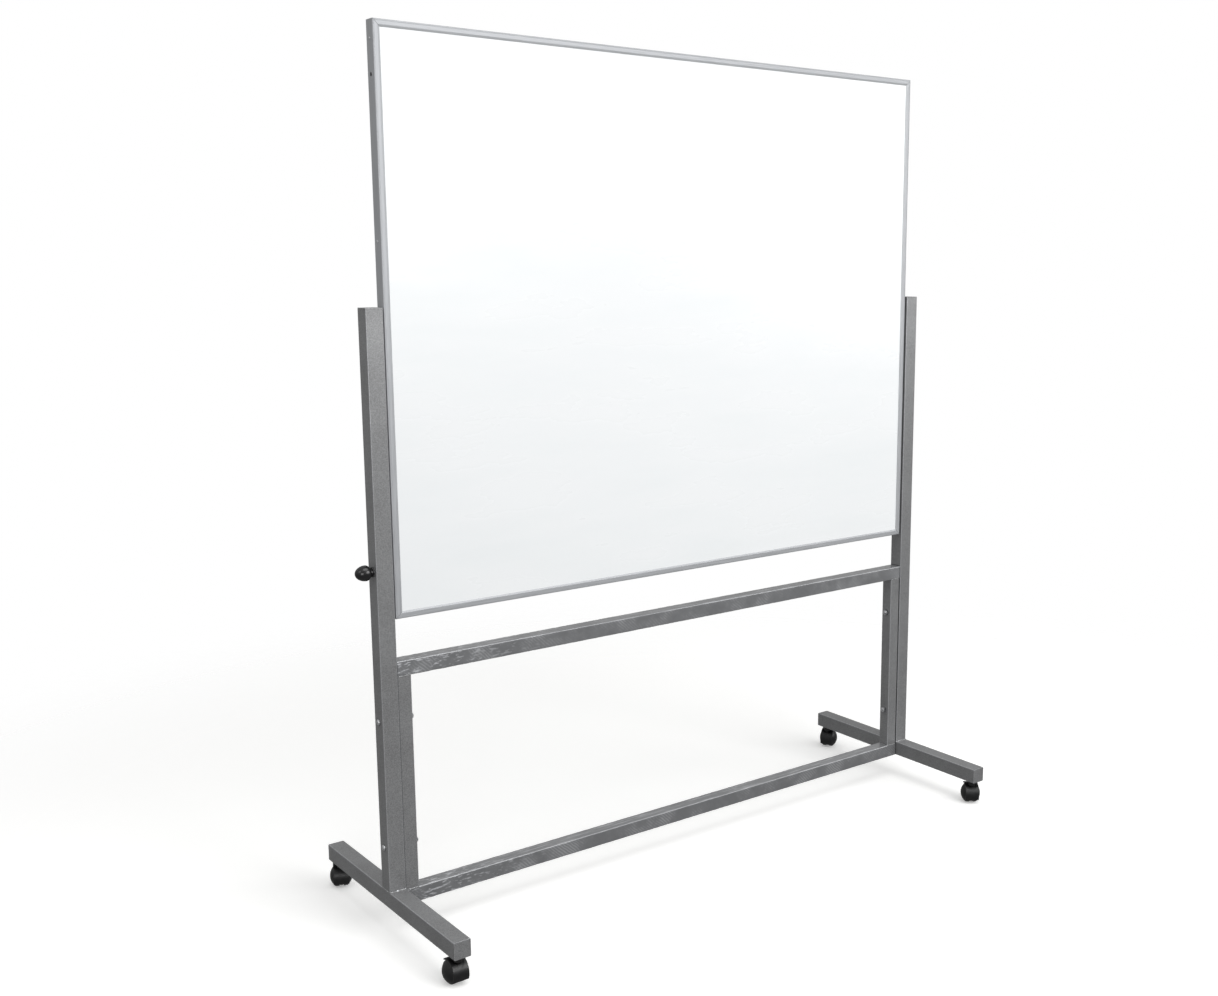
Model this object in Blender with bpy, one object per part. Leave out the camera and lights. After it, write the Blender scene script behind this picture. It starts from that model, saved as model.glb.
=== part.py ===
"""Rolling whiteboard: a double-sided board that flips between two posts on a castored stand.

Frame: metres, +Z up, origin on the floor midway between the two posts. +X runs along the
board to its right-hand side, -Y is the side that is written on first.
"""

import math

import bmesh
import bpy
from mathutils import Matrix, Vector

# ---------------------------------------------------------------- driving dimensions
FIT = 0.0003                 # air gap left between two pieces that touch

BOARD_W = 1.500              # board over its aluminium frame
BOARD_H = 1.200
BOARD_T = 0.030
BOARD_Z = 0.699              # underside of the board
PIVOT_Z = BOARD_Z + BOARD_H / 2
TRIM_FACE = 0.015            # width of the aluminium frame seen from the front
TRIM_WALL = 0.0016
LIP = 0.0017                 # how far the frame stands proud of the panel slot
SHEET_T = 0.0006             # enamelled steel sheet

SIDE_GAP = 0.0035            # air between the board's edge and a post
POST = 0.038                 # square tube of the posts and feet
POST_WALL = 0.002
TUBE_CORNER = 0.002          # outer corner radius of every tube
POST_TOP = 1.343
FOOT_LEN = 0.608
FOOT_Z = 0.065               # underside of the feet, which is the castors' height
RAIL = 0.032                 # square tube of the ladder frame between the posts
RAIL_WALL = 0.0016
UPPER_RAIL_Z = 0.5755
CAP_T = 0.002
CAP_PLUG = 0.010
PLUG_CORNER = 0.0024

POST_IN = BOARD_W / 2 + SIDE_GAP
POST_OUT = POST_IN + POST
POST_X = (POST_IN + POST_OUT) / 2
POST_Z = FOOT_Z + POST

BOLT_HEIGHTS = (0.200, 0.480)
BOLT_R = 0.0039
BOLT_HEAD_R = 0.0065
BOLT_HEAD_H = 0.0045
BOLT_HOLE_R = 0.0044
NUT_AF = 0.013
NUT_H = 0.006

PIN_R = 0.005                # pivot bolt
PIN_HOLE_R = 0.0054
PIN_HEAD_AF = 0.017
PIN_HEAD_H = 0.006
PIN_REACH = 0.030            # how far the bolt goes into the board
BLOCK = (0.050, 0.018, 0.060)
COLLAR_R = 0.009

LOCK_OFFSET = 0.496          # lock hole's distance from the pivot, up and down
STUD_R = 0.004
LOCK_HOLE_R = 0.0048
INSERT_R = 0.006
INSERT_FLANGE_R = 0.009
WASHER_R = 0.010
WASHER_T = 0.0015
KNOB_REACH = 0.038           # knob's tip from the post's outer face
KNOB_R = 0.0165
KNOB_SIDES = 24

CASTOR_INSET = 0.022         # stem's distance from the foot's end
TRAIL = 0.014
WHEEL_R = 0.025
WHEEL_SIDES = 24
WHEEL_HALF = 0.0255          # outside of a wheel's domed face from the castor's middle
WEB_HALF = 0.0036            # half thickness of the castor's body between the wheels
DISC_R = 0.0235              # the web's round lower part
HOOD_IN = 0.0263             # the hood's two radii about the axle, and its half width
HOOD_OUT = 0.0293
HOOD_HALF = 0.0180
HOOD_EDGE = 0.0012
HOOD_SWEEP = (62, 206)       # degrees from the trailing side, over the top, to the leading side
RECESS_R = 0.0118            # round recess in the hood about the boss
RECESS_Z = 0.0305
RECESS_FLOOR = 0.0280        # radius about the axle that the recess stops at
AXLE_R = 0.003
STEM_R = 0.005
STEM_Z = (0.0540, 0.095)     # the stem's two ends
STEM_HOLE_Z = 0.0535
BOSS_R = 0.0095
BOSS_Z = (0.0507, FOOT_Z - 0.0006)
BOSS_EDGE = 0.001
NECK_ARC = (98, 134)         # degrees, the part of the web's rim that the neck takes up
NECK_R = 0.9 * BOSS_R
NECK_TOP = 0.0530
CASTOR_TURN = {"front_left": 90, "front_right": 54, "rear_left": 67, "rear_right": 32}

ROUND = 16                   # sides of small round pieces


# ---------------------------------------------------------------- scene and materials
def clear_scene():
    for obj in list(bpy.data.objects):
        bpy.data.objects.remove(obj, do_unlink=True)


def finish(name, colour, roughness, metallic):
    """A plain Principled material."""
    mat = bpy.data.materials.new(name)
    mat.use_nodes = True
    shader = mat.node_tree.nodes["Principled BSDF"]
    shader.inputs["Base Color"].default_value = (*colour, 1.0)
    shader.inputs["Roughness"].default_value = roughness
    shader.inputs["Metallic"].default_value = metallic
    return mat


def make_finishes():
    return {
        "grey_paint": finish("grey_paint", (0.20, 0.21, 0.22), 0.45, 0.3),
        "aluminium": finish("aluminium", (0.50, 0.52, 0.54), 0.35, 1.0),
        "white_enamel": finish("white_enamel", (0.93, 0.94, 0.94), 0.15, 0.0),
        "core_board": finish("core_board", (0.48, 0.36, 0.22), 0.9, 0.0),
        "zinc_steel": finish("zinc_steel", (0.60, 0.60, 0.60), 0.35, 1.0),
        "black_plastic": finish("black_plastic", (0.012, 0.012, 0.013), 0.35, 0.0),
    }


def add_object(name, bm, material, parent=None, location=(0, 0, 0), smooth=False):
    """Turn a bmesh into a named object with outward faces."""
    bmesh.ops.recalc_face_normals(bm, faces=bm.faces)
    mesh = bpy.data.meshes.new(name)
    bm.to_mesh(mesh)
    bm.free()
    if smooth:
        mesh.shade_smooth()
        mesh.set_sharp_from_angle(angle=math.radians(35))
    obj = bpy.data.objects.new(name, mesh)
    bpy.context.collection.objects.link(obj)
    obj.location = location
    if parent is not None:
        obj.parent = parent
    if material is not None:
        mesh.materials.append(material)
    return obj


def add_empty(name, location, turn_deg=0):
    obj = bpy.data.objects.new(name, None)
    bpy.context.collection.objects.link(obj)
    obj.location = location
    obj.rotation_euler = (0, 0, math.radians(turn_deg))
    return obj


def cut(obj, cutter, operation="DIFFERENCE"):
    """Combine obj with another shape, which is kept as a hidden guide."""
    cutter.hide_render = True
    cutter.display_type = "WIRE"
    mod = obj.modifiers.new(operation.lower(), "BOOLEAN")
    mod.operation = operation
    mod.object = cutter
    mod.solver = "EXACT"


# ---------------------------------------------------------------- shape helpers
def rounded_square(side, radius, steps=3):
    """Corner points of a rounded square about the origin, anticlockwise."""
    points = []
    reach = side / 2 - radius
    for corner in range(4):
        start = corner * math.pi / 2
        cx = reach if corner in (0, 3) else -reach
        cy = reach if corner in (0, 1) else -reach
        for i in range(steps + 1):
            a = start + i * math.pi / 2 / steps
            points.append((cx + radius * math.cos(a), cy + radius * math.sin(a)))
    return points


def regular(sides, radius, phase=0.0):
    step = 2 * math.pi / sides
    return [(radius * math.cos(phase + i * step), radius * math.sin(phase + i * step))
            for i in range(sides)]


def along(axis, point, t):
    """Place a 2D point of a section at distance t along X, Y or Z."""
    a, b = point
    return {"X": (t, a, b), "Y": (b, t, a), "Z": (a, b, t)}[axis]


def loft(bm, rings, closed_ends=True):
    """Skin a list of equal rings of vertices with quads."""
    count = len(rings[0])
    for low, high in zip(rings, rings[1:]):
        for i in range(count):
            j = (i + 1) % count
            bm.faces.new((low[i], low[j], high[j], high[i]))
    if closed_ends:
        bm.faces.new(rings[0])
        bm.faces.new(rings[-1])


def section_ring(bm, axis, outline, t, centre=(0, 0, 0)):
    offset = Vector(centre)
    return [bm.verts.new(Vector(along(axis, p, t)) + offset) for p in outline]


def prism(bm, axis, outline, start, end, centre=(0, 0, 0)):
    loft(bm, [section_ring(bm, axis, outline, t, centre) for t in (start, end)])


def tube(bm, axis, side, wall, radius, start, end, centre):
    """Square tube, open at both ends."""
    outer = rounded_square(side, radius)
    inner = rounded_square(side - 2 * wall, max(radius - wall, 0.0005))
    rings = [section_ring(bm, axis, outer, start, centre),
             section_ring(bm, axis, outer, end, centre),
             section_ring(bm, axis, inner, end, centre),
             section_ring(bm, axis, inner, start, centre)]
    rings.append(rings[0])
    loft(bm, rings, closed_ends=False)


def turned(bm, axis, profile, sides, phase=0.0, ring=False):
    """Solid of revolution about an axis through the origin.

    profile lists (radius, distance along the axis). A radius of 0 makes a pole.
    With ring=True the profile is a closed loop, as for a washer.
    """
    rows = []
    for radius, t in profile:
        if radius == 0:
            rows.append([bm.verts.new(along(axis, (0, 0), t))])
        else:
            rows.append([bm.verts.new(along(axis, p, t)) for p in regular(sides, radius, phase)])
    if ring:
        rows.append(rows[0])
    for low, high in zip(rows, rows[1:]):
        for i in range(sides):
            j = (i + 1) % sides
            corners = [low[i % len(low)], low[j % len(low)], high[j % len(high)], high[i % len(high)]]
            unique = list(dict.fromkeys(corners))
            bm.faces.new(unique)


def box(bm, low, high):
    size = Vector(high) - Vector(low)
    middle = (Vector(high) + Vector(low)) / 2
    bmesh.ops.create_cube(bm, size=1.0, matrix=Matrix.Translation(middle) @ Matrix.Diagonal((*size, 1)))


def drill(name, holes, parent=None):
    """One hidden cutter holding several cylinders: (axis, radius, start, end, centre) each."""
    bm = bmesh.new()
    for axis, radius, start, end, centre in holes:
        prism(bm, axis, regular(ROUND, radius), start, end, centre)
    return add_object(name, bm, None, parent)


# ---------------------------------------------------------------- stand
def make_foot(side, sign, mats):
    centre = (sign * POST_X, 0, FOOT_Z + POST / 2)
    half = FOOT_LEN / 2 - CAP_T - FIT
    bm = bmesh.new()
    tube(bm, "Y", POST, POST_WALL, TUBE_CORNER, -half, half, centre)
    foot = add_object(f"{side}_foot", bm, mats["grey_paint"])
    stem_y = FOOT_LEN / 2 - CASTOR_INSET
    holes = [("Z", STEM_R + FIT, FOOT_Z - 0.005, FOOT_Z + 0.010, (sign * POST_X, y, 0))
             for y in (-stem_y, stem_y)]
    cut(foot, drill(f"cutter_{side}_foot", holes))
    for end, direction in (("front", -1), ("rear", 1)):
        make_cap(f"{side}_foot_{end}_cap", "Y", direction * (FOOT_LEN / 2 - CAP_T), direction,
                 centre, mats["grey_paint"])


def make_cap(name, axis, face, direction, centre, material):
    """End cap: a plate as wide as the tube with a plug inside it."""
    plate = rounded_square(POST, TUBE_CORNER)
    plug = rounded_square(POST - 2 * POST_WALL - 2 * FIT, PLUG_CORNER)
    bm = bmesh.new()
    rings = [section_ring(bm, axis, plate, face + direction * CAP_T, centre),
             section_ring(bm, axis, plate, face, centre),
             section_ring(bm, axis, plug, face, centre),
             section_ring(bm, axis, plug, face - direction * CAP_PLUG, centre)]
    loft(bm, rings)
    add_object(name, bm, material)


def make_post(side, sign, mats):
    bm = bmesh.new()
    top = POST_TOP - CAP_T - FIT
    tube(bm, "Z", POST, POST_WALL, TUBE_CORNER, POST_Z + FIT, top, (sign * POST_X, 0, 0))
    post = add_object(f"{side}_post", bm, mats["grey_paint"])
    inner, outer = sign * (POST_IN - 0.003), sign * (POST_OUT + 0.003)
    middle = sign * POST_X
    holes = [("X", BOLT_HOLE_R, inner, outer, (0, 0, z)) for z in BOLT_HEIGHTS]
    holes.append(("X", PIN_HOLE_R, inner, middle, (0, 0, PIVOT_Z)))
    if side == "left":
        lock_z = PIVOT_Z - LOCK_OFFSET
        holes.append(("X", LOCK_HOLE_R, inner, middle, (0, 0, lock_z)))
        holes.append(("X", INSERT_R + FIT, middle - 0.001, outer, (0, 0, lock_z)))
    cut(post, drill(f"cutter_{side}_post", holes))
    make_cap(f"{side}_post_cap", "Z", POST_TOP - CAP_T, 1, (sign * POST_X, 0, 0), mats["grey_paint"])


def make_ladder(mats):
    """Rails and short uprights between the posts."""
    reach = POST_IN - FIT
    for name, low in (("lower_rail", FOOT_Z), ("upper_rail", UPPER_RAIL_Z)):
        bm = bmesh.new()
        tube(bm, "X", RAIL, RAIL_WALL, TUBE_CORNER, -reach, reach, (0, 0, low + RAIL / 2))
        add_object(name, bm, mats["grey_paint"])
    for side, sign in (("left", -1), ("right", 1)):
        x = sign * (reach - RAIL / 2)
        bm = bmesh.new()
        tube(bm, "Z", RAIL, RAIL_WALL, TUBE_CORNER, FOOT_Z + RAIL + FIT, UPPER_RAIL_Z - FIT, (x, 0, 0))
        upright = add_object(f"{side}_inner_upright", bm, mats["grey_paint"])
        holes = [("X", BOLT_HOLE_R, x - RAIL, x + RAIL, (0, 0, z)) for z in BOLT_HEIGHTS]
        cut(upright, drill(f"cutter_{side}_upright", holes))


def make_frame_bolts(mats):
    """Through bolts that hold the ladder frame to the posts, with their nuts."""
    nut_face = POST_IN - FIT - RAIL - FIT    # just inside the inner upright
    for side, sign in (("left", -1), ("right", 1)):
        for level, z in zip(("lower", "upper"), BOLT_HEIGHTS):
            spot = add_empty(f"{side}_{level}_bolt_axis", (0, 0, z))
            head = POST_OUT + FIT
            end = nut_face - NUT_H - 0.002
            profile = [(0, sign * (head + BOLT_HEAD_H)),
                       (BOLT_HEAD_R * 0.55, sign * (head + BOLT_HEAD_H * 0.88)),
                       (BOLT_HEAD_R * 0.88, sign * (head + BOLT_HEAD_H * 0.5)),
                       (BOLT_HEAD_R, sign * head),
                       (BOLT_R, sign * head),
                       (BOLT_R, sign * (end + 0.0006)),
                       (BOLT_R - 0.0006, sign * end),
                       (0, sign * end)]
            bm = bmesh.new()
            turned(bm, "X", profile, ROUND)
            add_object(f"{side}_{level}_frame_bolt", bm, mats["zinc_steel"], spot, smooth=True)
            make_nut(f"{side}_{level}_frame_nut", sign, nut_face, spot, mats["zinc_steel"])


def make_nut(name, sign, face, parent, material):
    radius = NUT_AF / 2 / math.cos(math.pi / 6)
    bm = bmesh.new()
    outer = [section_ring(bm, "X", regular(6, radius), sign * x) for x in (face, face - NUT_H)]
    loft(bm, outer)
    nut = add_object(name, bm, material, parent)
    bore = drill(f"cutter_{name}", [("X", BOLT_R + FIT, sign * (face + 0.002),
                                     sign * (face - NUT_H - 0.002), (0, 0, 0))], parent)
    cut(nut, bore)


# ---------------------------------------------------------------- pivots
def make_pivot(side, sign, mats):
    """Pivot bolt put in from inside the post, and the collar that spaces the board from it."""
    axis = add_empty(f"{side}_pivot_axis", (0, 0, PIVOT_Z))
    wall_in = POST_IN + POST_WALL
    tip = BOARD_W / 2 - PIN_REACH
    bm = bmesh.new()
    hexagon = regular(6, PIN_HEAD_AF / 2 / math.cos(math.pi / 6))
    head = [section_ring(bm, "X", hexagon, sign * x)
            for x in (wall_in + FIT, wall_in + FIT + PIN_HEAD_H)]
    loft(bm, head)
    bolt = add_object(f"{side}_pivot_bolt", bm, mats["zinc_steel"], axis)
    bm = bmesh.new()
    turned(bm, "X", [(0, sign * (wall_in + 0.003)), (PIN_R, sign * (wall_in + 0.003)),
                     (PIN_R, sign * (tip + 0.001)), (PIN_R - 0.001, sign * tip), (0, sign * tip)], ROUND)
    cut(bolt, add_object(f"guide_{side}_pivot_shank", bm, None, axis), "UNION")
    bm = bmesh.new()
    near, far = sign * (POST_IN - FIT), sign * (BOARD_W / 2 + FIT)
    turned(bm, "X", [(PIN_R + FIT, near), (COLLAR_R, near), (COLLAR_R, far), (PIN_R + FIT, far)],
           ROUND, ring=True)
    add_object(f"{side}_pivot_collar", bm, mats["black_plastic"], axis, smooth=True)


# ---------------------------------------------------------------- board
def trim_section():
    """Half of the frame's channel: (distance in from the edge, height above the board's middle)."""
    half = BOARD_T / 2
    slot = half - LIP
    bend = 0.003
    points = []
    for i in range(4):
        a = math.pi / 2 * i / 3
        points.append((bend - bend * math.cos(a), half - bend + bend * math.sin(a)))
    points += [(TRIM_FACE - 0.0006, half), (TRIM_FACE, half - 0.0006), (TRIM_FACE, slot),
               (TRIM_WALL, slot)]
    return points


def make_trim(name, half_len, half_span, horizontal, sign, parent, mats):
    """One mitred length of the aluminium frame, in board coordinates."""
    upper = trim_section()
    outline = upper + [(u, -v) for u, v in reversed(upper)]
    bm = bmesh.new()
    rings = []
    for end in (-1, 1):
        ring = []
        for u, v in outline:
            run = end * (half_len - u - FIT)
            out = sign * (half_span - u)
            ring.append(bm.verts.new((run, v, out) if horizontal else (out, v, run)))
        rings.append(ring)
    loft(bm, rings)
    return add_object(name, bm, mats["aluminium"], parent)


def make_board(pivot, mats):
    half_w, half_h = BOARD_W / 2, BOARD_H / 2
    make_trim("frame_top", half_w, half_h, True, 1, pivot, mats)
    make_trim("frame_bottom", half_w, half_h, True, -1, pivot, mats)
    left = make_trim("frame_left", half_h, half_w, False, -1, pivot, mats)
    right = make_trim("frame_right", half_h, half_w, False, 1, pivot, mats)

    edge_x = half_w - TRIM_WALL - FIT
    edge_z = half_h - TRIM_WALL - FIT
    outer = BOARD_T / 2 - LIP - FIT
    inner = outer - SHEET_T
    for name, low, high in (("front_sheet", -outer, -inner), ("back_sheet", inner, outer)):
        bm = bmesh.new()
        box(bm, (-edge_x, low, -edge_z), (edge_x, high, edge_z))
        add_object(name, bm, mats["white_enamel"], pivot)
    bm = bmesh.new()
    half_core = inner - FIT
    box(bm, (-edge_x, -half_core, -edge_z), (edge_x, half_core, edge_z))
    core = add_object("panel_core", bm, mats["core_board"], pivot)

    bm = bmesh.new()
    for sign in (-1, 1):
        low = sign * (edge_x - BLOCK[0] - FIT)
        high = sign * (edge_x + 0.005)
        box(bm, (min(low, high), -BLOCK[1] / 2 - FIT, -BLOCK[2] / 2 - FIT),
            (max(low, high), BLOCK[1] / 2 + FIT, BLOCK[2] / 2 + FIT))
    cut(core, add_object("cutter_core_pockets", bm, None, pivot))
    lock_holes = [("X", LOCK_HOLE_R, -half_w - 0.003, -half_w + 0.018, (0, 0, sign * LOCK_OFFSET))
                  for sign in (-1, 1)]
    cut(core, drill("cutter_core_lock_holes", lock_holes, pivot))

    pin_hole = PIN_HOLE_R + FIT
    cut(left, drill("cutter_frame_left", lock_holes + [
        ("X", pin_hole, -half_w - 0.003, -half_w + 0.004, (0, 0, 0))], pivot))
    cut(right, drill("cutter_frame_right", [
        ("X", pin_hole, half_w - 0.004, half_w + 0.003, (0, 0, 0))], pivot))

    for side, sign in (("left", -1), ("right", 1)):
        bm = bmesh.new()
        near, far = sign * edge_x, sign * (edge_x - BLOCK[0])
        box(bm, (min(near, far), -BLOCK[1] / 2, -BLOCK[2] / 2),
            (max(near, far), BLOCK[1] / 2, BLOCK[2] / 2))
        block = add_object(f"{side}_pivot_block", bm, mats["zinc_steel"], pivot)
        bore_end = sign * (half_w - PIN_REACH - 0.003)
        cut(block, drill(f"cutter_{side}_block", [
            ("X", PIN_R + FIT, sign * (half_w + 0.003), bore_end, (0, 0, 0))], pivot))


# ---------------------------------------------------------------- lock
def make_lock(mats):
    """Screw knob on the left post. Its stud points at the lock hole in the board's edge."""
    axis = add_empty("lock_axis", (-POST_OUT, 0, PIVOT_Z - LOCK_OFFSET))
    flange = -0.001 - FIT
    body_end = POST_WALL + 0.010
    bm = bmesh.new()
    bore = STUD_R + FIT
    turned(bm, "X", [(bore, flange), (INSERT_FLANGE_R, flange), (INSERT_FLANGE_R, -FIT),
                     (INSERT_R, -FIT), (INSERT_R, body_end), (bore, body_end)], ROUND, ring=True)
    add_object("lock_insert", bm, mats["zinc_steel"], axis, smooth=True)

    washer = flange - FIT
    bm = bmesh.new()
    turned(bm, "X", [(bore, washer), (WASHER_R, washer), (WASHER_R, washer - WASHER_T),
                     (bore, washer - WASHER_T)], ROUND, ring=True)
    add_object("lock_washer", bm, mats["black_plastic"], axis, smooth=True)

    base = washer - WASHER_T - FIT
    bore_end = base - 0.022
    bm = bmesh.new()
    turned(bm, "X", knob_profile(base, bore, bore_end), KNOB_SIDES)
    add_object("lock_knob", bm, mats["black_plastic"], axis, smooth=True)

    tip = POST + SIDE_GAP - 0.0004
    bm = bmesh.new()
    turned(bm, "X", [(0, bore_end + 0.001), (STUD_R - 0.0007, bore_end + 0.001),
                     (STUD_R, bore_end + 0.0017), (STUD_R, tip - 0.0012),
                     (STUD_R - 0.0012, tip), (0, tip)], ROUND)
    add_object("lock_stud", bm, mats["zinc_steel"], axis, smooth=True)


def knob_profile(base, bore, bore_end):
    """Egg-shaped knob on a short neck, from the bottom of its bore round to its tip."""
    widest = -0.0155
    points = [(0, bore_end), (bore, bore_end), (bore, base), (0.0098, base), (0.0100, base - 0.0025),
              (0.0128, -0.0095), (0.0155, -0.0120)]
    for i in range(9):
        a = math.pi / 2 * i / 8
        points.append((KNOB_R * math.cos(a), widest - (KNOB_REACH + widest) * math.sin(a)))
    points[-1] = (0, -KNOB_REACH)
    return points


# ---------------------------------------------------------------- castors
def wheel_profile(side):
    """Wheel with a blind bore, a flat tread and a domed outer face."""
    inner = WEB_HALF + 0.0010
    bore = AXLE_R + FIT
    true = 1 / math.cos(math.pi / WHEEL_SIDES)   # flats of the many-sided tread lie at its radius
    points = [(0, 0.0215), (bore, 0.0215), (bore, inner), (0.0240, inner), (0.0247, 0.0052),
              (WHEEL_R * true, 0.0064), (WHEEL_R * true, 0.0128), (0.0238, 0.0150),
              (0.0195, 0.0184), (0.0140, 0.0222), (0.0080, 0.0246), (0, WHEEL_HALF)]
    return [(radius, side * t) for radius, t in points]


def sector(radius, start_deg, end_deg, steps):
    """Points (distance behind the stem, height) on a circle about the axle."""
    points = []
    for i in range(steps + 1):
        a = math.radians(start_deg + (end_deg - start_deg) * i / steps)
        points.append((TRAIL + radius * math.cos(a), WHEEL_R + radius * math.sin(a)))
    return points


def web_outline():
    """Side view of the castor's middle web: up to the hood, a neck for the boss, and a disc below."""
    start, end = HOOD_SWEEP[0] + 2, HOOD_SWEEP[1] - 2
    reach = HOOD_OUT - 0.001
    neck = [(NECK_R, NECK_TOP), (-NECK_R, NECK_TOP)]
    return (sector(reach, start, NECK_ARC[0], 6) + neck + sector(reach, NECK_ARC[1], end, 12)
            + sector(DISC_R, end, start + 360, 16))


def make_hood(corner, swivel):
    """The mudguard over both wheels, with a round recess about the boss. A hidden guide."""
    bm = bmesh.new()
    inner = sector(HOOD_IN, *reversed(HOOD_SWEEP), 20)
    rings = []
    for t, radius in ((-HOOD_HALF, HOOD_OUT - HOOD_EDGE), (-HOOD_HALF + HOOD_EDGE, HOOD_OUT),
                      (HOOD_HALF - HOOD_EDGE, HOOD_OUT), (HOOD_HALF, HOOD_OUT - HOOD_EDGE)):
        outline = sector(radius, *HOOD_SWEEP, 20) + inner
        rings.append([bm.verts.new((s, t, z)) for s, z in outline])
    loft(bm, rings)
    hood = add_object(f"guide_{corner}_hood", bm, None, swivel)
    recess = drill(f"cutter_{corner}_recess", [("Z", RECESS_R, RECESS_Z, FOOT_Z, (0, 0, 0))], swivel)
    cut(recess, drill(f"guide_{corner}_recess_floor", [
        ("Y", RECESS_FLOOR, -RECESS_R - 0.002, RECESS_R + 0.002, (TRAIL, 0, WHEEL_R))], swivel))
    cut(hood, recess)
    return hood


def make_castor(corner, x, y, mats):
    swivel = add_empty(f"{corner}_swivel_axis", (x, y, 0), CASTOR_TURN[corner])
    black = mats["black_plastic"]

    bm = bmesh.new()
    verts = [[bm.verts.new((s, t, z)) for s, z in web_outline()] for t in (-WEB_HALF, WEB_HALF)]
    loft(bm, verts)
    body = add_object(f"{corner}_castor_body", bm, black, swivel)
    cut(body, make_hood(corner, swivel), "UNION")
    bm = bmesh.new()
    low, high = BOSS_Z
    turned(bm, "Z", [(0, low), (BOSS_R - BOSS_EDGE, low), (BOSS_R, low + BOSS_EDGE),
                     (BOSS_R, high - BOSS_EDGE), (BOSS_R - BOSS_EDGE, high), (0, high)], ROUND)
    cut(body, add_object(f"guide_{corner}_boss", bm, None, swivel), "UNION")
    cut(body, drill(f"cutter_{corner}_body", [
        ("Z", STEM_R + FIT, STEM_HOLE_Z, FOOT_Z + 0.002, (0, 0, 0)),
        ("Y", AXLE_R + FIT, -0.010, 0.010, (TRAIL, 0, WHEEL_R))], swivel))

    stem = add_empty(f"{corner}_stem_axis", (x, y, 0))
    bm = bmesh.new()
    low, high = STEM_Z
    turned(bm, "Z", [(0, low), (STEM_R, low), (STEM_R, high - 0.001), (STEM_R - 0.001, high),
                     (0, high)], ROUND)
    add_object(f"{corner}_stem", bm, mats["zinc_steel"], stem, smooth=True)

    bm = bmesh.new()
    turned(bm, "Y", [(0, -0.021), (AXLE_R, -0.021), (AXLE_R, 0.021), (0, 0.021)], 16)
    add_object(f"{corner}_axle", bm, mats["zinc_steel"], swivel, (TRAIL, 0, WHEEL_R), smooth=True)
    for letter, side in (("a", -1), ("b", 1)):
        bm = bmesh.new()
        turned(bm, "Y", wheel_profile(side), WHEEL_SIDES, math.pi / WHEEL_SIDES)
        add_object(f"{corner}_wheel_{letter}", bm, black, swivel, (TRAIL, 0, WHEEL_R), smooth=True)


# ---------------------------------------------------------------- assembly
clear_scene()
finishes = make_finishes()
for side_name, direction_x in (("left", -1), ("right", 1)):
    make_foot(side_name, direction_x, finishes)
    make_post(side_name, direction_x, finishes)
    make_pivot(side_name, direction_x, finishes)
make_ladder(finishes)
make_frame_bolts(finishes)
make_board(add_empty("board_pivot", (0, 0, PIVOT_Z)), finishes)
make_lock(finishes)
stem_line = FOOT_LEN / 2 - CASTOR_INSET
for end_name, direction_y in (("front", -1), ("rear", 1)):
    for side_name, direction_x in (("left", -1), ("right", 1)):
        make_castor(f"{end_name}_{side_name}", direction_x * POST_X, direction_y * stem_line, finishes)
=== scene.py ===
"""Looks of a rolling whiteboard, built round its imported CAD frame.

A two-sided enamelled board flips between the posts of a grey steel stand on four castors.
Everything is in metres, +Z up, with the origin on the floor midway between the posts.
"""

import math

import bmesh
import bpy
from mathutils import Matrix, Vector


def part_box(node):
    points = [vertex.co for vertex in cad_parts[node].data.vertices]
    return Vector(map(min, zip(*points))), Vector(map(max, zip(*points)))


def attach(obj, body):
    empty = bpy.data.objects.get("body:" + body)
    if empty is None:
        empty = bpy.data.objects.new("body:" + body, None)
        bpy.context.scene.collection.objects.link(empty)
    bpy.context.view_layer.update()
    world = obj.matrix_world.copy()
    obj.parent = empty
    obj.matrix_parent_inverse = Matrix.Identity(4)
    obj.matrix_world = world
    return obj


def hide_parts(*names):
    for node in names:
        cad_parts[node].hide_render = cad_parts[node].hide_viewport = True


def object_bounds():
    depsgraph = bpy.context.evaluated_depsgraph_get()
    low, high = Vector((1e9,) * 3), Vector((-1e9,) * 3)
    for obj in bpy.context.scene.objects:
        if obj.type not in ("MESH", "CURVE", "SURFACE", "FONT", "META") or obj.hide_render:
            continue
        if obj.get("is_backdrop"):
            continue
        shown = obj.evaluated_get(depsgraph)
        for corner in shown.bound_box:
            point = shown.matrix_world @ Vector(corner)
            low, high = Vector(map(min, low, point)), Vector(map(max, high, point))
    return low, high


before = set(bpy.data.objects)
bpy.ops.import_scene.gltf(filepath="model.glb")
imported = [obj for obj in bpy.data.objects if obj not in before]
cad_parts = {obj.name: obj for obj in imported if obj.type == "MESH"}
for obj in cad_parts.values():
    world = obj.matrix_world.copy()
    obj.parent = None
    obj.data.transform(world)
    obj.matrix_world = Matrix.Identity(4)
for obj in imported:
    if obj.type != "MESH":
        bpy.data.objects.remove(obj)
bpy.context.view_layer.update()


# ================================================================ studio
# A pale floor that fades out into a white backdrop, a broad soft light overhead and softer ones in
# front, seen from standing height in front and to the left. Light falls off towards the ground.
STUDIO_WHITE = "#ffffff"
FLOOR_PALE = "#fbfbfa"
FLOOR_FADE = (1.3, 2.7)           # the floor is whole inside the first radius and gone at the second
FLOOR_GLOW = 0.28
LIGHT_BELOW = 0.24
LIGHT_AT_HORIZON = 0.36
LIGHT_ABOVE = 0.62
SENSOR = 36.0                     # millimetres
LENS = 40.99
CAMERA_AT = (-1.983, -2.619, 1.429)
CAMERA_TURN = 38.26               # degrees from +Y towards +X
CAMERA_TILT = -10.03
CAMERA_SHIFT = (-0.0789, 0.0093)


def linear(code):
    """Linear RGBA of an sRGB hex colour."""
    channels = [int(code[i:i + 2], 16) / 255 for i in (1, 3, 5)]
    return [c / 12.92 if c <= 0.04045 else ((c + 0.055) / 1.055) ** 2.4 for c in channels] + [1.0]


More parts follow.
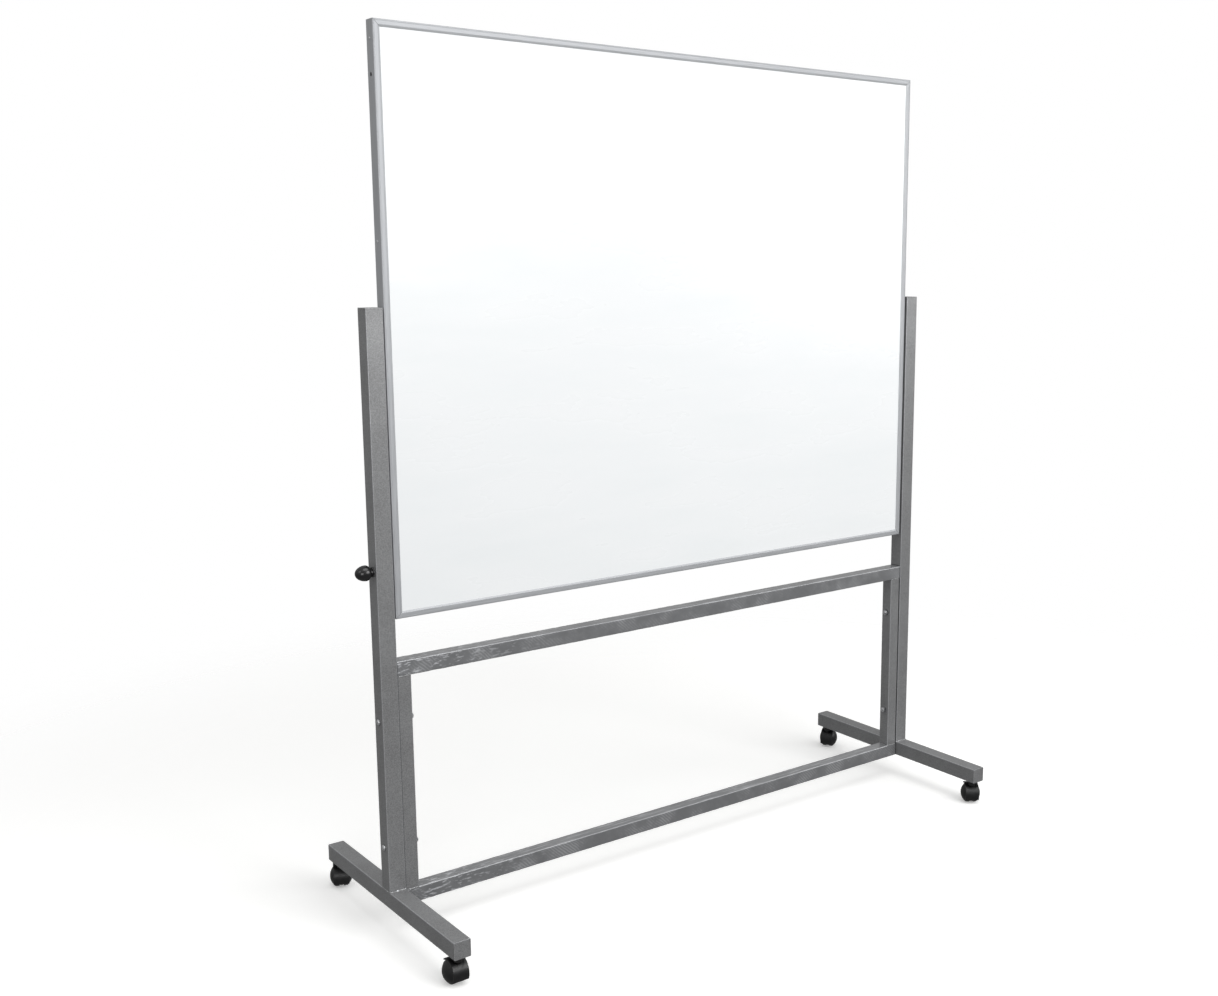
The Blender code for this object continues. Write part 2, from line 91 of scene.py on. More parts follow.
def add_node(tree, kind, inputs, **settings):
    """Adds a shader node. inputs maps an input's name or number to a value or to the output it takes."""
    made = tree.nodes.new("ShaderNode" + kind)
    for name, value in settings.items():
        setattr(made, name, value)
    for name, value in inputs.items():
        if isinstance(value, bpy.types.NodeSocket):
            tree.links.new(value, made.inputs[name])
        else:
            made.inputs[name].default_value = value
    return made


def ramp(tree, value, low, high, to_low=0, to_high=1):
    """A value that goes from to_low to to_high while its input goes from low to high."""
    return add_node(tree, "MapRange", {"Value": value, "From Min": low, "From Max": high,
                                       "To Min": to_low, "To Max": to_high})


def maths(tree, operation, first, second):
    return add_node(tree, "Math", {0: first, 1: second}, operation=operation)


def empty_material(name):
    material = bpy.data.materials.new(name)
    material.use_nodes = True
    material.node_tree.nodes.clear()
    return material, material.node_tree


def soft_light(name, location, target, size, watts):
    lamp = bpy.data.lights.new(name, "AREA")
    lamp.shape = "DISK"
    lamp.size = size
    lamp.energy = watts
    light = bpy.data.objects.new(name, lamp)
    bpy.context.collection.objects.link(light)
    light.location = location
    light.rotation_euler = (Vector(target) - Vector(location)).to_track_quat("-Z", "Y").to_euler()


scene = bpy.context.scene
scene.view_settings.view_transform = "Standard"

world = bpy.data.worlds.new("studio")
scene.world = world
world.use_nodes = True
tree = world.node_tree
tree.nodes.clear()
rays = add_node(tree, "LightPath", {})
direction = add_node(tree, "TexCoord", {})
rise = add_node(tree, "SeparateXYZ", {0: direction.outputs["Generated"]})
upper = ramp(tree, rise.outputs["Z"], 0.0, 1.0, LIGHT_AT_HORIZON, LIGHT_ABOVE)
lower = ramp(tree, rise.outputs["Z"], -0.3, 0.0, LIGHT_BELOW - LIGHT_AT_HORIZON, 0.0)
strength = maths(tree, "ADD", upper.outputs[0], lower.outputs[0])
ambient = add_node(tree, "Background", {"Color": linear(STUDIO_WHITE), "Strength": strength.outputs[0]})
backdrop = add_node(tree, "Background", {"Color": linear(STUDIO_WHITE), "Strength": 1.0})
seen = add_node(tree, "MixShader", {0: rays.outputs["Is Camera Ray"], 1: ambient.outputs[0],
                                    2: backdrop.outputs[0]})
add_node(tree, "OutputWorld", {"Surface": seen.outputs[0]})

soft_light("overhead_light", (-0.2, -2.0, 5.5), (0, 0, 0.2), 3.5, 66)
soft_light("key_light", (0.8, -3.6, 2.3), (0, 0, 1.0), 2.4, 63)
soft_light("fill_light", (3.4, -2.8, 2.0), (0.5, 0, 1.1), 2.0, 30)
soft_light("left_light", (-3.2, -0.8, 3.0), (-0.7, 0, 1.4), 1.5, 8)
soft_light("corner_light", (-2.7, -3.0, 1.15), (-0.7, 0, 1.0), 1.2, 17)

bpy.ops.object.select_all(action="DESELECT")
bpy.ops.mesh.primitive_circle_add(vertices=96, radius=FLOOR_FADE[1], fill_type="NGON")
floor = bpy.context.active_object
floor.name = "floor"
floor_material, tree = empty_material("pale_studio_floor")
coords = add_node(tree, "TexCoord", {})
away = add_node(tree, "VectorMath", {0: coords.outputs["Object"]}, operation="LENGTH")
fade = add_node(tree, "MapRange", {"Value": away.outputs["Value"], "From Min": FLOOR_FADE[0],
                                   "From Max": FLOOR_FADE[1]}, interpolation_type="SMOOTHSTEP")
matt = add_node(tree, "BsdfDiffuse", {"Color": linear(FLOOR_PALE)})
glow = add_node(tree, "Emission", {"Color": linear(FLOOR_PALE), "Strength": FLOOR_GLOW})
pale = add_node(tree, "AddShader", {0: matt.outputs[0], 1: glow.outputs[0]})
gone = add_node(tree, "BsdfTransparent", {})
shown = add_node(tree, "MixShader", {0: fade.outputs[0], 1: pale.outputs[0], 2: gone.outputs[0]})
add_node(tree, "OutputMaterial", {"Surface": shown.outputs[0]})
floor.data.materials.append(floor_material)
floor.visible_diffuse = False
floor.visible_glossy = False
floor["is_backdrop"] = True

camera = bpy.data.objects.new("camera", bpy.data.cameras.new("camera"))
bpy.context.collection.objects.link(camera)
turn, tilt = math.radians(CAMERA_TURN), math.radians(CAMERA_TILT)
gaze = Vector((math.sin(turn) * math.cos(tilt), math.cos(turn) * math.cos(tilt), math.sin(tilt)))
camera.location = CAMERA_AT
camera.rotation_euler = gaze.to_track_quat("-Z", "Y").to_euler()
camera.data.sensor_width = SENSOR
camera.data.lens = LENS
camera.data.shift_x, camera.data.shift_y = CAMERA_SHIFT
scene.camera = camera


# ================================================================ posts, feet and ladder
# Mild steel square tube, cold-rolled with rounded corners, holes drilled, then powder-coated a
# silver grey whose metal flake gives a fine grain; the coat has a faint orange-peel surface.
PAINT_DARK = "#7c7c7d"
PAINT_LIGHT = "#999a9b"
PAINT_EDGE_HIGHLIGHT = "#dcdee2"            # painted highlight along the rounded corners, where the coat turns
EDGE_HIGHLIGHT_SHARE = 0.38
EDGE_POLISH = 0.3
SEAM = 0.004                      # how far in from a joint between two tubes the coat lies in shade
SEAM_SHADE = "#4a4b4e"
FLAKE = 0.0016                    # drawn coarser than real flake so that it shows
ORANGE_PEEL = 0.0035
CLOUDING = 0.09
CLOUD_SHARE = 0.45
CORNER_STEPS = 6
SHORTEST_SIDE = 0.01              # edges shorter than this lie on a rounded corner
SHARP = math.radians(32)          # edges turned by more than this stay crisp
POST_WALL = 0.002
RAIL_WALL = 0.0016
TUBE_CORNER = 0.002
BOLT_HOLE = 0.0044
PIVOT_HOLE = 0.0054
LOCK_HOLE = 0.0048
INSERT_HOLE = 0.0063
STEM_HOLE = 0.0053
OVERRUN = 0.01                    # how far a drill goes past the wall that it starts at


def noise(tree, at, scale, detail, roughness=0.5):
    return add_node(tree, "TexNoise", {"Vector": at, "Scale": scale, "Detail": detail,
                                       "Roughness": roughness})


def blend(tree, share, first, second):
    """A mix of two colours or values, each a hex code or the output that it comes from."""
    colours = [linear(colour) if isinstance(colour, str) else colour for colour in (first, second)]
    return add_node(tree, "MixRGB", {0: share, 1: colours[0], 2: colours[1]})


def surface(tree, inputs):
    """Ends a material with its one shader, which takes these inputs."""
    shader = add_node(tree, "BsdfPrincipled", inputs)
    add_node(tree, "OutputMaterial", {"Surface": shader.outputs[0]})


grey_paint, tree = empty_material("silver_grey_powder_coat")
coords = add_node(tree, "TexCoord", {})
flakes = add_node(tree, "TexVoronoi", {"Vector": coords.outputs["Object"], "Scale": 1 / FLAKE})
clouds = noise(tree, coords.outputs["Object"], 1 / CLOUDING, 4.0, 0.6)
grain = blend(tree, CLOUD_SHARE, flakes.outputs["Color"], clouds.outputs["Fac"])
level = ramp(tree, grain.outputs[0], 0.25, 0.75)
tint = blend(tree, level.outputs[0], PAINT_DARK, PAINT_LIGHT)
gloss = ramp(tree, flakes.outputs["Distance"], 0, 0.7, 0.28, 0.42)
facing = add_node(tree, "VectorMath", {0: coords.outputs["Normal"]}, operation="ABSOLUTE")
parts = add_node(tree, "SeparateXYZ", {0: facing.outputs[0]})
widest = maths(tree, "MAXIMUM", parts.outputs["X"], parts.outputs["Y"])
squarely = maths(tree, "MAXIMUM", widest.outputs[0], parts.outputs["Z"])
# Painted highlight: the colour goes lighter, and the coat glossier, where the normal turns off the flat
# faces at the rounded corners, but not in the crevices between tubes.
turning = ramp(tree, squarely.outputs[0], 0.995, 0.90, 0, EDGE_HIGHLIGHT_SHARE)
# Painted shade: ambient occlusion darkens the colour towards SEAM_SHADE in the crevices where two tubes
# meet.
shade = add_node(tree, "AmbientOcclusion", {"Distance": SEAM})
outside = ramp(tree, shade.outputs["AO"], 0.55, 0.90)
corner_highlight = maths(tree, "MULTIPLY", turning.outputs[0], outside.outputs[0])
seam_painted_shade = blend(tree, outside.outputs[0], SEAM_SHADE, tint.outputs[0])
highlighted = blend(tree, corner_highlight.outputs[0], seam_painted_shade.outputs[0], PAINT_EDGE_HIGHLIGHT)
polish = maths(tree, "MULTIPLY", corner_highlight.outputs[0], EDGE_POLISH)
rubbed = maths(tree, "SUBTRACT", gloss.outputs[0], polish.outputs[0])
peel = noise(tree, coords.outputs["Object"], 1 / ORANGE_PEEL, 2.0)
bumps = add_node(tree, "Bump", {"Height": peel.outputs["Fac"], "Strength": 0.35, "Distance": 0.0002})
surface(tree, {
    "Base Color": highlighted.outputs[0], "Metallic": 0.4, "Roughness": rubbed.outputs[0],
    "Normal": bumps.outputs[0]})


def deselect():
    if bpy.context.object and bpy.context.object.mode != "OBJECT":
        bpy.ops.object.mode_set(mode="OBJECT")
    bpy.ops.object.select_all(action="DESELECT")


def block(name, low, high):
    """A box from corner to corner, with its place in its mesh, selected and active."""
    deselect()
    low, high = Vector(low), Vector(high)
    bpy.ops.mesh.primitive_cube_add(size=1, location=(low + high) / 2, scale=high - low)
    made = bpy.context.active_object
    made.name = name
    bpy.ops.object.transform_apply(location=True, rotation=True, scale=True)
    return made


def rod(name, start, end, radius, sides=32):
    """A cylinder between two points, with its place in its mesh."""
    deselect()
    start, end = Vector(start), Vector(end)
    run = end - start
    bpy.ops.mesh.primitive_cylinder_add(
        vertices=sides, radius=radius, depth=run.length, location=(start + end) / 2,
        rotation=run.to_track_quat("Z", "Y").to_euler())
    made = bpy.context.active_object
    made.name = name
    bpy.ops.object.transform_apply(location=True, rotation=True, scale=True)
    return made


def pick(obj, kind, test):
    """In edit mode, selects only the VERT, EDGE or FACE elements that pass a test."""
    bpy.ops.mesh.select_mode(type=kind)
    bpy.ops.mesh.select_all(action="DESELECT")
    mesh = bmesh.from_edit_mesh(obj.data)
    for part in {"VERT": mesh.verts, "EDGE": mesh.edges, "FACE": mesh.faces}[kind]:
        if test(part):
            part.select_set(True)
    bmesh.update_edit_mesh(obj.data)


def runs_along(axis):
    """A test for edges that run along an axis."""
    def test(edge):
        run = edge.verts[1].co - edge.verts[0].co
        return abs(run[axis]) > 0.999 * run.length
    return test


def faces_along(axis, sign=0):
    """A test for faces that look along an axis, either way or one way."""
    def test(face):
        return face.normal[axis] * sign > 0.999 if sign else abs(face.normal[axis]) > 0.999
    return test


def apply_modifier(obj, kind, **settings):
    deselect()
    bpy.context.view_layer.objects.active = obj
    obj.select_set(True)
    modifier = obj.modifiers.new(kind.lower(), kind)
    for name, value in settings.items():
        setattr(modifier, name, value)
    bpy.ops.object.modifier_apply(modifier=modifier.name)


def combine(obj, tool, operation):
    apply_modifier(obj, "BOOLEAN", object=tool, operation=operation, solver="EXACT")
    bpy.data.objects.remove(tool)


def drill(obj, radius, start, end, sides=32):
    combine(obj, rod("drill", start, end, radius, sides), "DIFFERENCE")


def fit(piece, material, body, slot, *nodes):
    """Shades a finished piece, gives it its material and hangs it on its body in place of CAD nodes."""
    deselect()
    bpy.context.view_layer.objects.active = piece
    piece.select_set(True)
    bpy.ops.object.shade_smooth_by_angle(angle=SHARP)
    apply_modifier(piece, "WEIGHTED_NORMAL", keep_sharp=True)
    piece.data.materials.clear()
    piece.data.materials.append(material)
    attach(piece, body)
    if nodes:
        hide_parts(*nodes)


def square_tube(node, wall, holes):
    """An open-ended square tube where a CAD tube is, drilled with (radius, start, end) holes."""
    low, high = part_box(node)
    size = high - low
    axis = list(size).index(max(size))
    made = block(node + "_tube", low, high)
    bpy.ops.object.mode_set(mode="EDIT")
    pick(made, "EDGE", runs_along(axis))
    bpy.ops.mesh.bevel(offset=TUBE_CORNER, segments=CORNER_STEPS, affect="EDGES")
    pick(made, "FACE", faces_along(axis))
    bpy.ops.mesh.delete(type="FACE")
    bpy.ops.object.mode_set(mode="OBJECT")
    apply_modifier(made, "SOLIDIFY", thickness=wall, offset=-1, use_even_offset=True)
    for radius, start, end in holes:
        drill(made, radius, start, end)
    fit(made, grey_paint, "stand", "grey_paint", node)


bolt_heights = [sum(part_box(f"left_{level}_frame_bolt")[i].z for i in (0, 1)) / 2
                for level in ("lower", "upper")]
pivot_z = sum(corner.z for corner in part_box("left_pivot_collar")) / 2
lock_z = sum(corner.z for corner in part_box("lock_knob")) / 2

for side, out in (("left", -1), ("right", 1)):
    low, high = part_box(f"{side}_post")
    middle = (low.x + high.x) / 2
    inner, outer = (high.x, low.x) if out < 0 else (low.x, high.x)
    before, past = inner - out * OVERRUN, outer + out * OVERRUN
    through = [(BOLT_HOLE, (before, 0, z), (past, 0, z)) for z in bolt_heights]
    post_holes = through + [(PIVOT_HOLE, (before, 0, pivot_z), (middle, 0, pivot_z))]
    if side == "left":
        post_holes += [(LOCK_HOLE, (before, 0, lock_z), (middle, 0, lock_z)),
                       (INSERT_HOLE, (past, 0, lock_z), (middle, 0, lock_z))]
    square_tube(f"{side}_post", POST_WALL, post_holes)

    upright_low, upright_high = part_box(f"{side}_inner_upright")
    square_tube(f"{side}_inner_upright", RAIL_WALL, [
        (BOLT_HOLE, (upright_low.x - OVERRUN, 0, z), (upright_high.x + OVERRUN, 0, z))
        for z in bolt_heights])

    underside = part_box(f"{side}_foot")[0].z
    stems = [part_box(f"{end}_{side}_stem") for end in ("front", "rear")]
    stem_holes = [(STEM_HOLE, (middle, (a.y + b.y) / 2, underside - OVERRUN),
                   (middle, (a.y + b.y) / 2, underside + OVERRUN)) for a, b in stems]
    square_tube(f"{side}_foot", POST_WALL, stem_holes)

for rail in ("lower_rail", "upper_rail"):
    square_tube(rail, RAIL_WALL, [])


# ================================================================ end caps
# Pressed steel plates with a plug behind them, pushed into the ends of the feet and posts and
# painted with the stand. The edge of each plate is rounded over, which catches a thin light line.
CAP_PLATE = 0.002
CAP_INSET = 0.0024
CAP_EDGE = 0.0006


def end_cap(node, axis, outward):
    low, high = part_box(node)
    inner_face = high[axis] - CAP_PLATE if outward > 0 else low[axis] + CAP_PLATE
    plug_depth = abs(inner_face - (low[axis] if outward > 0 else high[axis]))
    plate_low, plate_high = low.copy(), high.copy()
    (plate_low if outward > 0 else plate_high)[axis] = inner_face
    made = block(node + "_plate", plate_low, plate_high)
    bpy.ops.object.mode_set(mode="EDIT")
    pick(made, "EDGE", runs_along(axis))
    bpy.ops.mesh.bevel(offset=TUBE_CORNER, segments=CORNER_STEPS, affect="EDGES")
    pick(made, "FACE", faces_along(axis, outward))
    bpy.ops.mesh.bevel(offset=CAP_EDGE, segments=3, affect="EDGES")
    pick(made, "FACE", faces_along(axis, -outward))
    bpy.ops.mesh.inset(thickness=CAP_INSET)
    plug = Vector((0, 0, 0))
    plug[axis] = -outward * plug_depth
    bpy.ops.mesh.extrude_region_move(TRANSFORM_OT_translate={"value": plug})
    bpy.ops.object.mode_set(mode="OBJECT")
    fit(made, grey_paint, "stand", "grey_paint", node)


for side in ("left", "right"):
    end_cap(f"{side}_foot_front_cap", 1, -1)
    end_cap(f"{side}_foot_rear_cap", 1, 1)
    end_cap(f"{side}_post_cap", 2, 1)


# ================================================================ weld beads
# Small arc-weld beads run round the foot of each post and round both ends of the short uprights.
# They are lumpy under the paint and mostly sunk into the flush faces.
BEAD = 0.0019                     # a bead's radius
SHORT_BEAD = 0.8 * BEAD           # on the uprights
BEAD_CUTS = 36
POST_GROW = (-0.0013, 0.0004)     # the bead's middle line from the tube's faces, sideways and fore and aft
UPRIGHT_GROW = (-0.0006, -0.0008)
BEAD_LUMP = 0.0032
BEAD_RISE = 0.0009
SPECK_PITCH = 0.006               # between the painted glints on the beads' crests
BEAD_GLINT_BRIGHT = "#eef0f4"

# The bright specks on the beads are painted highlights, glints off their lumpy crests.
bead_paint, tree = empty_material("grey_coat_with_painted_weld_glints")
coords = add_node(tree, "TexCoord", {})
glint_cells = add_node(tree, "TexVoronoi", {"Vector": coords.outputs["Object"], "Scale": 1 / SPECK_PITCH})
painted_glint = ramp(tree, glint_cells.outputs["Distance"], 0.36, 0.22)
glinted = blend(tree, painted_glint.outputs[0], PAINT_LIGHT, BEAD_GLINT_BRIGHT)
surface(tree, {
    "Base Color": glinted.outputs[0], "Metallic": 0.3, "Roughness": 0.25})

lumps = bpy.data.textures.new("weld_lumps", "CLOUDS")
lumps.noise_scale = BEAD_LUMP


def weld_ring(name, node, z, grow_x, grow_y, bead):
    """A closed bead at height z round an upright tube, grown or shrunk from its faces."""
    low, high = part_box(node)
    deselect()
    bpy.ops.mesh.primitive_plane_add(size=1, location=((low.x + high.x) / 2, 0, z))
    made = bpy.context.active_object
    made.name = name
    made.scale = (high.x - low.x + 2 * grow_x, high.y - low.y + 2 * grow_y, 1)
    bpy.ops.object.transform_apply(location=True, rotation=True, scale=True)
    bpy.ops.object.mode_set(mode="EDIT")
    bpy.ops.mesh.select_all(action="SELECT")
    bpy.ops.mesh.bevel(offset=TUBE_CORNER, segments=3, affect="VERTICES")
    bpy.ops.mesh.delete(type="ONLY_FACE")
    pick(made, "EDGE", lambda edge: edge.calc_length() > SHORTEST_SIDE)
    bpy.ops.mesh.subdivide(number_cuts=BEAD_CUTS)
    bpy.ops.object.mode_set(mode="OBJECT")
    bpy.ops.object.convert(target="CURVE")
    made.data.bevel_depth = bead
    made.data.bevel_resolution = 3
    bpy.ops.object.convert(target="MESH")
    apply_modifier(made, "DISPLACE", texture=lumps, texture_coords="LOCAL", strength=BEAD_RISE,
                   mid_level=0.5)
    fit(made, bead_paint, "stand", "grey_paint")


for side in ("left", "right"):
    foot_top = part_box(f"{side}_foot")[1].z
    weld_ring(f"{side}_post_weld", f"{side}_post", foot_top, *POST_GROW, BEAD)
    upright = f"{side}_inner_upright"
    for level, corner in zip(("lower", "upper"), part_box(upright)):
        weld_ring(f"{side}_upright_{level}_weld", upright, corner.z, *UPRIGHT_GROW, SHORT_BEAD)


# ================================================================ film on the rails
# Thin clear stretch film is still wound round both rails as it left the works. It clings to the paint in
# diagonal creases and bunches at the left ends and along the corners. Its glints there, and the light
# streaks and diagonal lines over its creases, are painted highlights.
FILM = 0.00015                    # thickness
FILM_OFF = 0.0010                 # how far the film stands off the rail before it is creased
CREASE_SIZE = (0.035, 0.02, 0.009)
CREASE_LEAN = 48                  # degrees, as are the other leans
CREASE_RISE = 0.0009
CRINKLE_SIZE = (0.011, 0.006, 0.004)
CRINKLE_LEAN = -20
CRINKLE_RISE = 0.0004
FILM_CORNER = 0.0026
FILM_SHORT = 0.0007               # how far short of the rail's ends the film stops
SLEEVE_CUTS = (21, 21)            # one after the other along the rail, then across each face
FACE_CUTS = 7
UPRIGHT_CLEAR = 0.001             # between the film's edge and an upright
FILM_DULL = "#7c7d7f"
FILM_CLEAR = "#8a8b8d"
FILM_GLINT = "#e4e6ea"
PATCH_SCALE = 16.0
STREAK_SCALE = (12.0, 150.0, 150.0)
CRINKLE_SCALE = (60.0, 190.0, 190.0)
HATCH_PITCH = 0.0060              # between the fine diagonal lines of painted highlight on the upright faces
HATCH_LEAN = 46
HATCH_SHARE = 0.25
STREAK_SHARE = 0.42
CORNER_SHARE = 0.75
LEFT_END_GLINTS_X = (-0.35, -0.72)        # the film was started at the left end and lies in bunches there, shown by painted glints
LEFT_END_GLINT_SHARE = 0.7

film, tree = empty_material("clear_film_over_grey_paint")
coords = add_node(tree, "TexCoord", {})
clouds = noise(tree, coords.outputs["Object"], PATCH_SCALE, 4.0, 0.6)
patches = ramp(tree, clouds.outputs["Fac"], 0.38, 0.66)
under = blend(tree, patches.outputs[0], FILM_DULL, FILM_CLEAR)
# Painted highlights: light streaks along the top faces, fine diagonal lines on the upright faces, glints
# along the corners and crinkled glints at the left ends, all mixed towards FILM_GLINT.
drawn_out = add_node(tree, "Mapping", {"Vector": coords.outputs["Object"], "Scale": STREAK_SCALE})
streaks = noise(tree, drawn_out.outputs[0], 1.0, 3.0, 0.6)
along = ramp(tree, streaks.outputs["Fac"], 0.52, 0.70, 0, STREAK_SHARE)
hatch_turn = add_node(tree, "Mapping", {"Vector": coords.outputs["Object"],
                                        "Rotation": (0, math.radians(HATCH_LEAN), 0)})
hatch = add_node(tree, "TexWave", {"Vector": hatch_turn.outputs[0], "Scale": math.pi / 10 / HATCH_PITCH,
                                   "Distortion": 4.0, "Detail": 2.0, "Detail Scale": 0.8})
fading = maths(tree, "MULTIPLY", hatch.outputs["Fac"], patches.outputs[0])
across = ramp(tree, fading.outputs[0], 0.35, 1.0, 0, HATCH_SHARE)
facing = add_node(tree, "VectorMath", {0: coords.outputs["Normal"]}, operation="ABSOLUTE")
parts = add_node(tree, "SeparateXYZ", {0: facing.outputs[0]})
level_face = ramp(tree, parts.outputs["Z"], 0.5, 0.8)
crease_highlights = blend(tree, level_face.outputs[0], across.outputs[0], along.outputs[0])
squarely = maths(tree, "MAXIMUM", parts.outputs["Y"], parts.outputs["Z"])
rounding = ramp(tree, squarely.outputs[0], 0.96, 0.80, 0, CORNER_SHARE)
corner_glints = maths(tree, "MULTIPLY", rounding.outputs[0], streaks.outputs["Fac"])
place = add_node(tree, "SeparateXYZ", {0: coords.outputs["Object"]})
start = ramp(tree, place.outputs["X"], LEFT_END_GLINTS_X[0], LEFT_END_GLINTS_X[1], 0, LEFT_END_GLINT_SHARE)
crushed = add_node(tree, "Mapping", {"Vector": coords.outputs["Object"], "Scale": CRINKLE_SCALE})
crinkles = noise(tree, crushed.outputs[0], 1.0, 3.0)
crinkle_glints = ramp(tree, crinkles.outputs["Fac"], 0.56, 0.66)
glints = maths(tree, "MULTIPLY", crinkle_glints.outputs[0], start.outputs[0])
both = maths(tree, "MAXIMUM", crease_highlights.outputs[0], corner_glints.outputs[0])
shining = maths(tree, "MAXIMUM", both.outputs[0], glints.outputs[0])
shown = blend(tree, shining.outputs[0], under.outputs[0], FILM_GLINT)
bumps = add_node(tree, "Bump", {"Height": shining.outputs[0], "Strength": 0.3, "Distance": 0.0005})
surface(tree, {
    "Base Color": shown.outputs[0], "Metallic": 0.3, "Roughness": 0.28,
    "Coat Weight": 0.5, "Coat Roughness": 0.12, "Coat IOR": 1.5, "Normal": bumps.outputs[0]})

creases = bpy.data.textures.new("film_creases", "CLOUDS")
creases.noise_scale = 1.0
creases.noise_depth = 3


def crease(obj, size, lean_degrees, rise):
    """Pushes the film in and out by a cloud stretched to size and leaned in its long face."""
    guide = bpy.data.objects.new("crease_guide", None)
    bpy.context.collection.objects.link(guide)
    guide.rotation_euler = (0, math.radians(lean_degrees), 0)
    guide.scale = size
    bpy.context.view_layer.update()
    apply_modifier(obj, "DISPLACE", texture=creases, texture_coords="OBJECT",
                   texture_coords_object=guide, strength=rise, mid_level=0.5)
    bpy.data.objects.remove(guide)


def film_sleeve(name, rail, open_side):
    """A creased sleeve round a rail. It is open on one side where the uprights meet the rail."""
    low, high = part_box(rail)
    off = Vector((-FILM_SHORT, FILM_OFF, FILM_OFF))
    made = block(name, low - off, high + off)
    bpy.ops.object.mode_set(mode="EDIT")
    pick(made, "EDGE", runs_along(0))
    bpy.ops.mesh.bevel(offset=FILM_CORNER, segments=4, affect="EDGES")
    pick(made, "FACE", faces_along(0))
    bpy.ops.mesh.delete(type="FACE")
    for cuts in SLEEVE_CUTS:
        pick(made, "EDGE", runs_along(0))
        bpy.ops.mesh.subdivide(number_cuts=cuts)
    pick(made, "EDGE", lambda edge: not runs_along(0)(edge) and edge.calc_length() > SHORTEST_SIDE)
    bpy.ops.mesh.subdivide(number_cuts=FACE_CUTS)
    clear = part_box("right_inner_upright")[0].x - UPRIGHT_CLEAR
    pick(made, "FACE", lambda face: abs(face.calc_center_median().x) > clear
         and face.normal.z * open_side > 0.5)
    bpy.ops.mesh.delete(type="FACE")
    bpy.ops.object.mode_set(mode="OBJECT")
    crease(made, CREASE_SIZE, CREASE_LEAN, CREASE_RISE)
    crease(made, CRINKLE_SIZE, CRINKLE_LEAN, CRINKLE_RISE)
    apply_modifier(made, "SOLIDIFY", thickness=FILM, offset=-1)
    fit(made, film, "stand", "grey_paint")


film_sleeve("upper_rail_film", "upper_rail", -1)
film_sleeve("lower_rail_film", "lower_rail", 1)


# ================================================================ frame bolts and nuts
# M8 dome-head machine bolts go through post and upright at two heights and take a hex nut on the
# inside. Steel, cold-headed and bright zinc plated, with the cloudy look of thin plating.
ZINC_DARK = "#b9babc"
ZINC_LIGHT = "#f0f1f3"
ZINC_CLOUD = 0.004
ROUND_STEPS = 48
THREAD_PITCH = 0.00125
THREAD_DEPTH = 0.00045
BOLT_R = 0.0039
BOLT_HEAD_R = 0.0065
BOLT_HEAD_H = 0.0045
BOLT_EDGE = 0.0006
THREAD_START = 0.001              # from the bolt's tip
THREAD_END = 0.022
NUT_BORE = 0.0042
NUT_EDGE = 0.00096
NUT_CLEAR = 0.0002                # how far the chamfering cone starts outside the corners
NUT_OVERRUN = 0.002

zinc, tree = empty_material("bright_zinc_plated_steel")
coords = add_node(tree, "TexCoord", {})
clouds = noise(tree, coords.outputs["Object"], 1 / ZINC_CLOUD, 4.0)
level = ramp(tree, clouds.outputs["Fac"], 0.35, 0.65)
tint = blend(tree, level.outputs[0], ZINC_DARK, ZINC_LIGHT)
gloss = ramp(tree, clouds.outputs["Fac"], 0, 1, 0.2, 0.42)
surface(tree, {
    "Base Color": tint.outputs[0], "Metallic": 1.0, "Roughness": gloss.outputs[0]})


def spun(name, profile, centre, axis, steps=ROUND_STEPS):
    """A solid turned about an axis through centre. profile lists (radius, distance along the axis)."""
    axis, centre = Vector(axis), Vector(centre)
    across = Vector((0, 0, 1)) if abs(axis.z) < 0.5 else Vector((1, 0, 0))
    deselect()
    bpy.ops.mesh.primitive_circle_add(vertices=len(profile), radius=1)
    made = bpy.context.active_object
    made.name = name
    for vertex, (radius, reach) in zip(made.data.vertices, profile):
        vertex.co = centre + across * radius + axis * reach
    bpy.ops.object.mode_set(mode="EDIT")
    on_axis = {i for i, (radius, reach) in enumerate(profile) if radius == 0}
    pick(made, "EDGE", lambda edge: {v.index for v in edge.verts} <= on_axis)
    bpy.ops.mesh.delete(type="EDGE")
    bpy.ops.mesh.select_all(action="SELECT")
    bpy.ops.mesh.spin(steps=steps, angle=2 * math.pi, center=centre, axis=axis)
    bpy.ops.mesh.select_all(action="SELECT")
    bpy.ops.mesh.remove_doubles(threshold=1e-6)
    bpy.ops.mesh.normals_make_consistent(inside=False)
    bpy.ops.object.mode_set(mode="OBJECT")
    return made


def rounded(widest, start, end, steps):
    """Profile points of a quarter ellipse from (widest, start) to the axis at end."""
    return [(widest * math.cos(math.pi / 2 * i / steps) if i < steps else 0,
             start + (end - start) * math.sin(math.pi / 2 * i / steps)) for i in range(steps + 1)]


def thread(radius, start, end):
    """Profile points of a thread's ridges between two distances along the axis."""
    count = int(abs(end - start) / THREAD_PITCH)
    step = (end - start) / count
    points = []
    for i in range(count):
        points += [(radius, start + step * (i + 0.1)), (radius, start + step * (i + 0.3)),
                   (radius - THREAD_DEPTH, start + step * (i + 0.6)),
                   (radius - THREAD_DEPTH, start + step * (i + 0.8))]
    return points


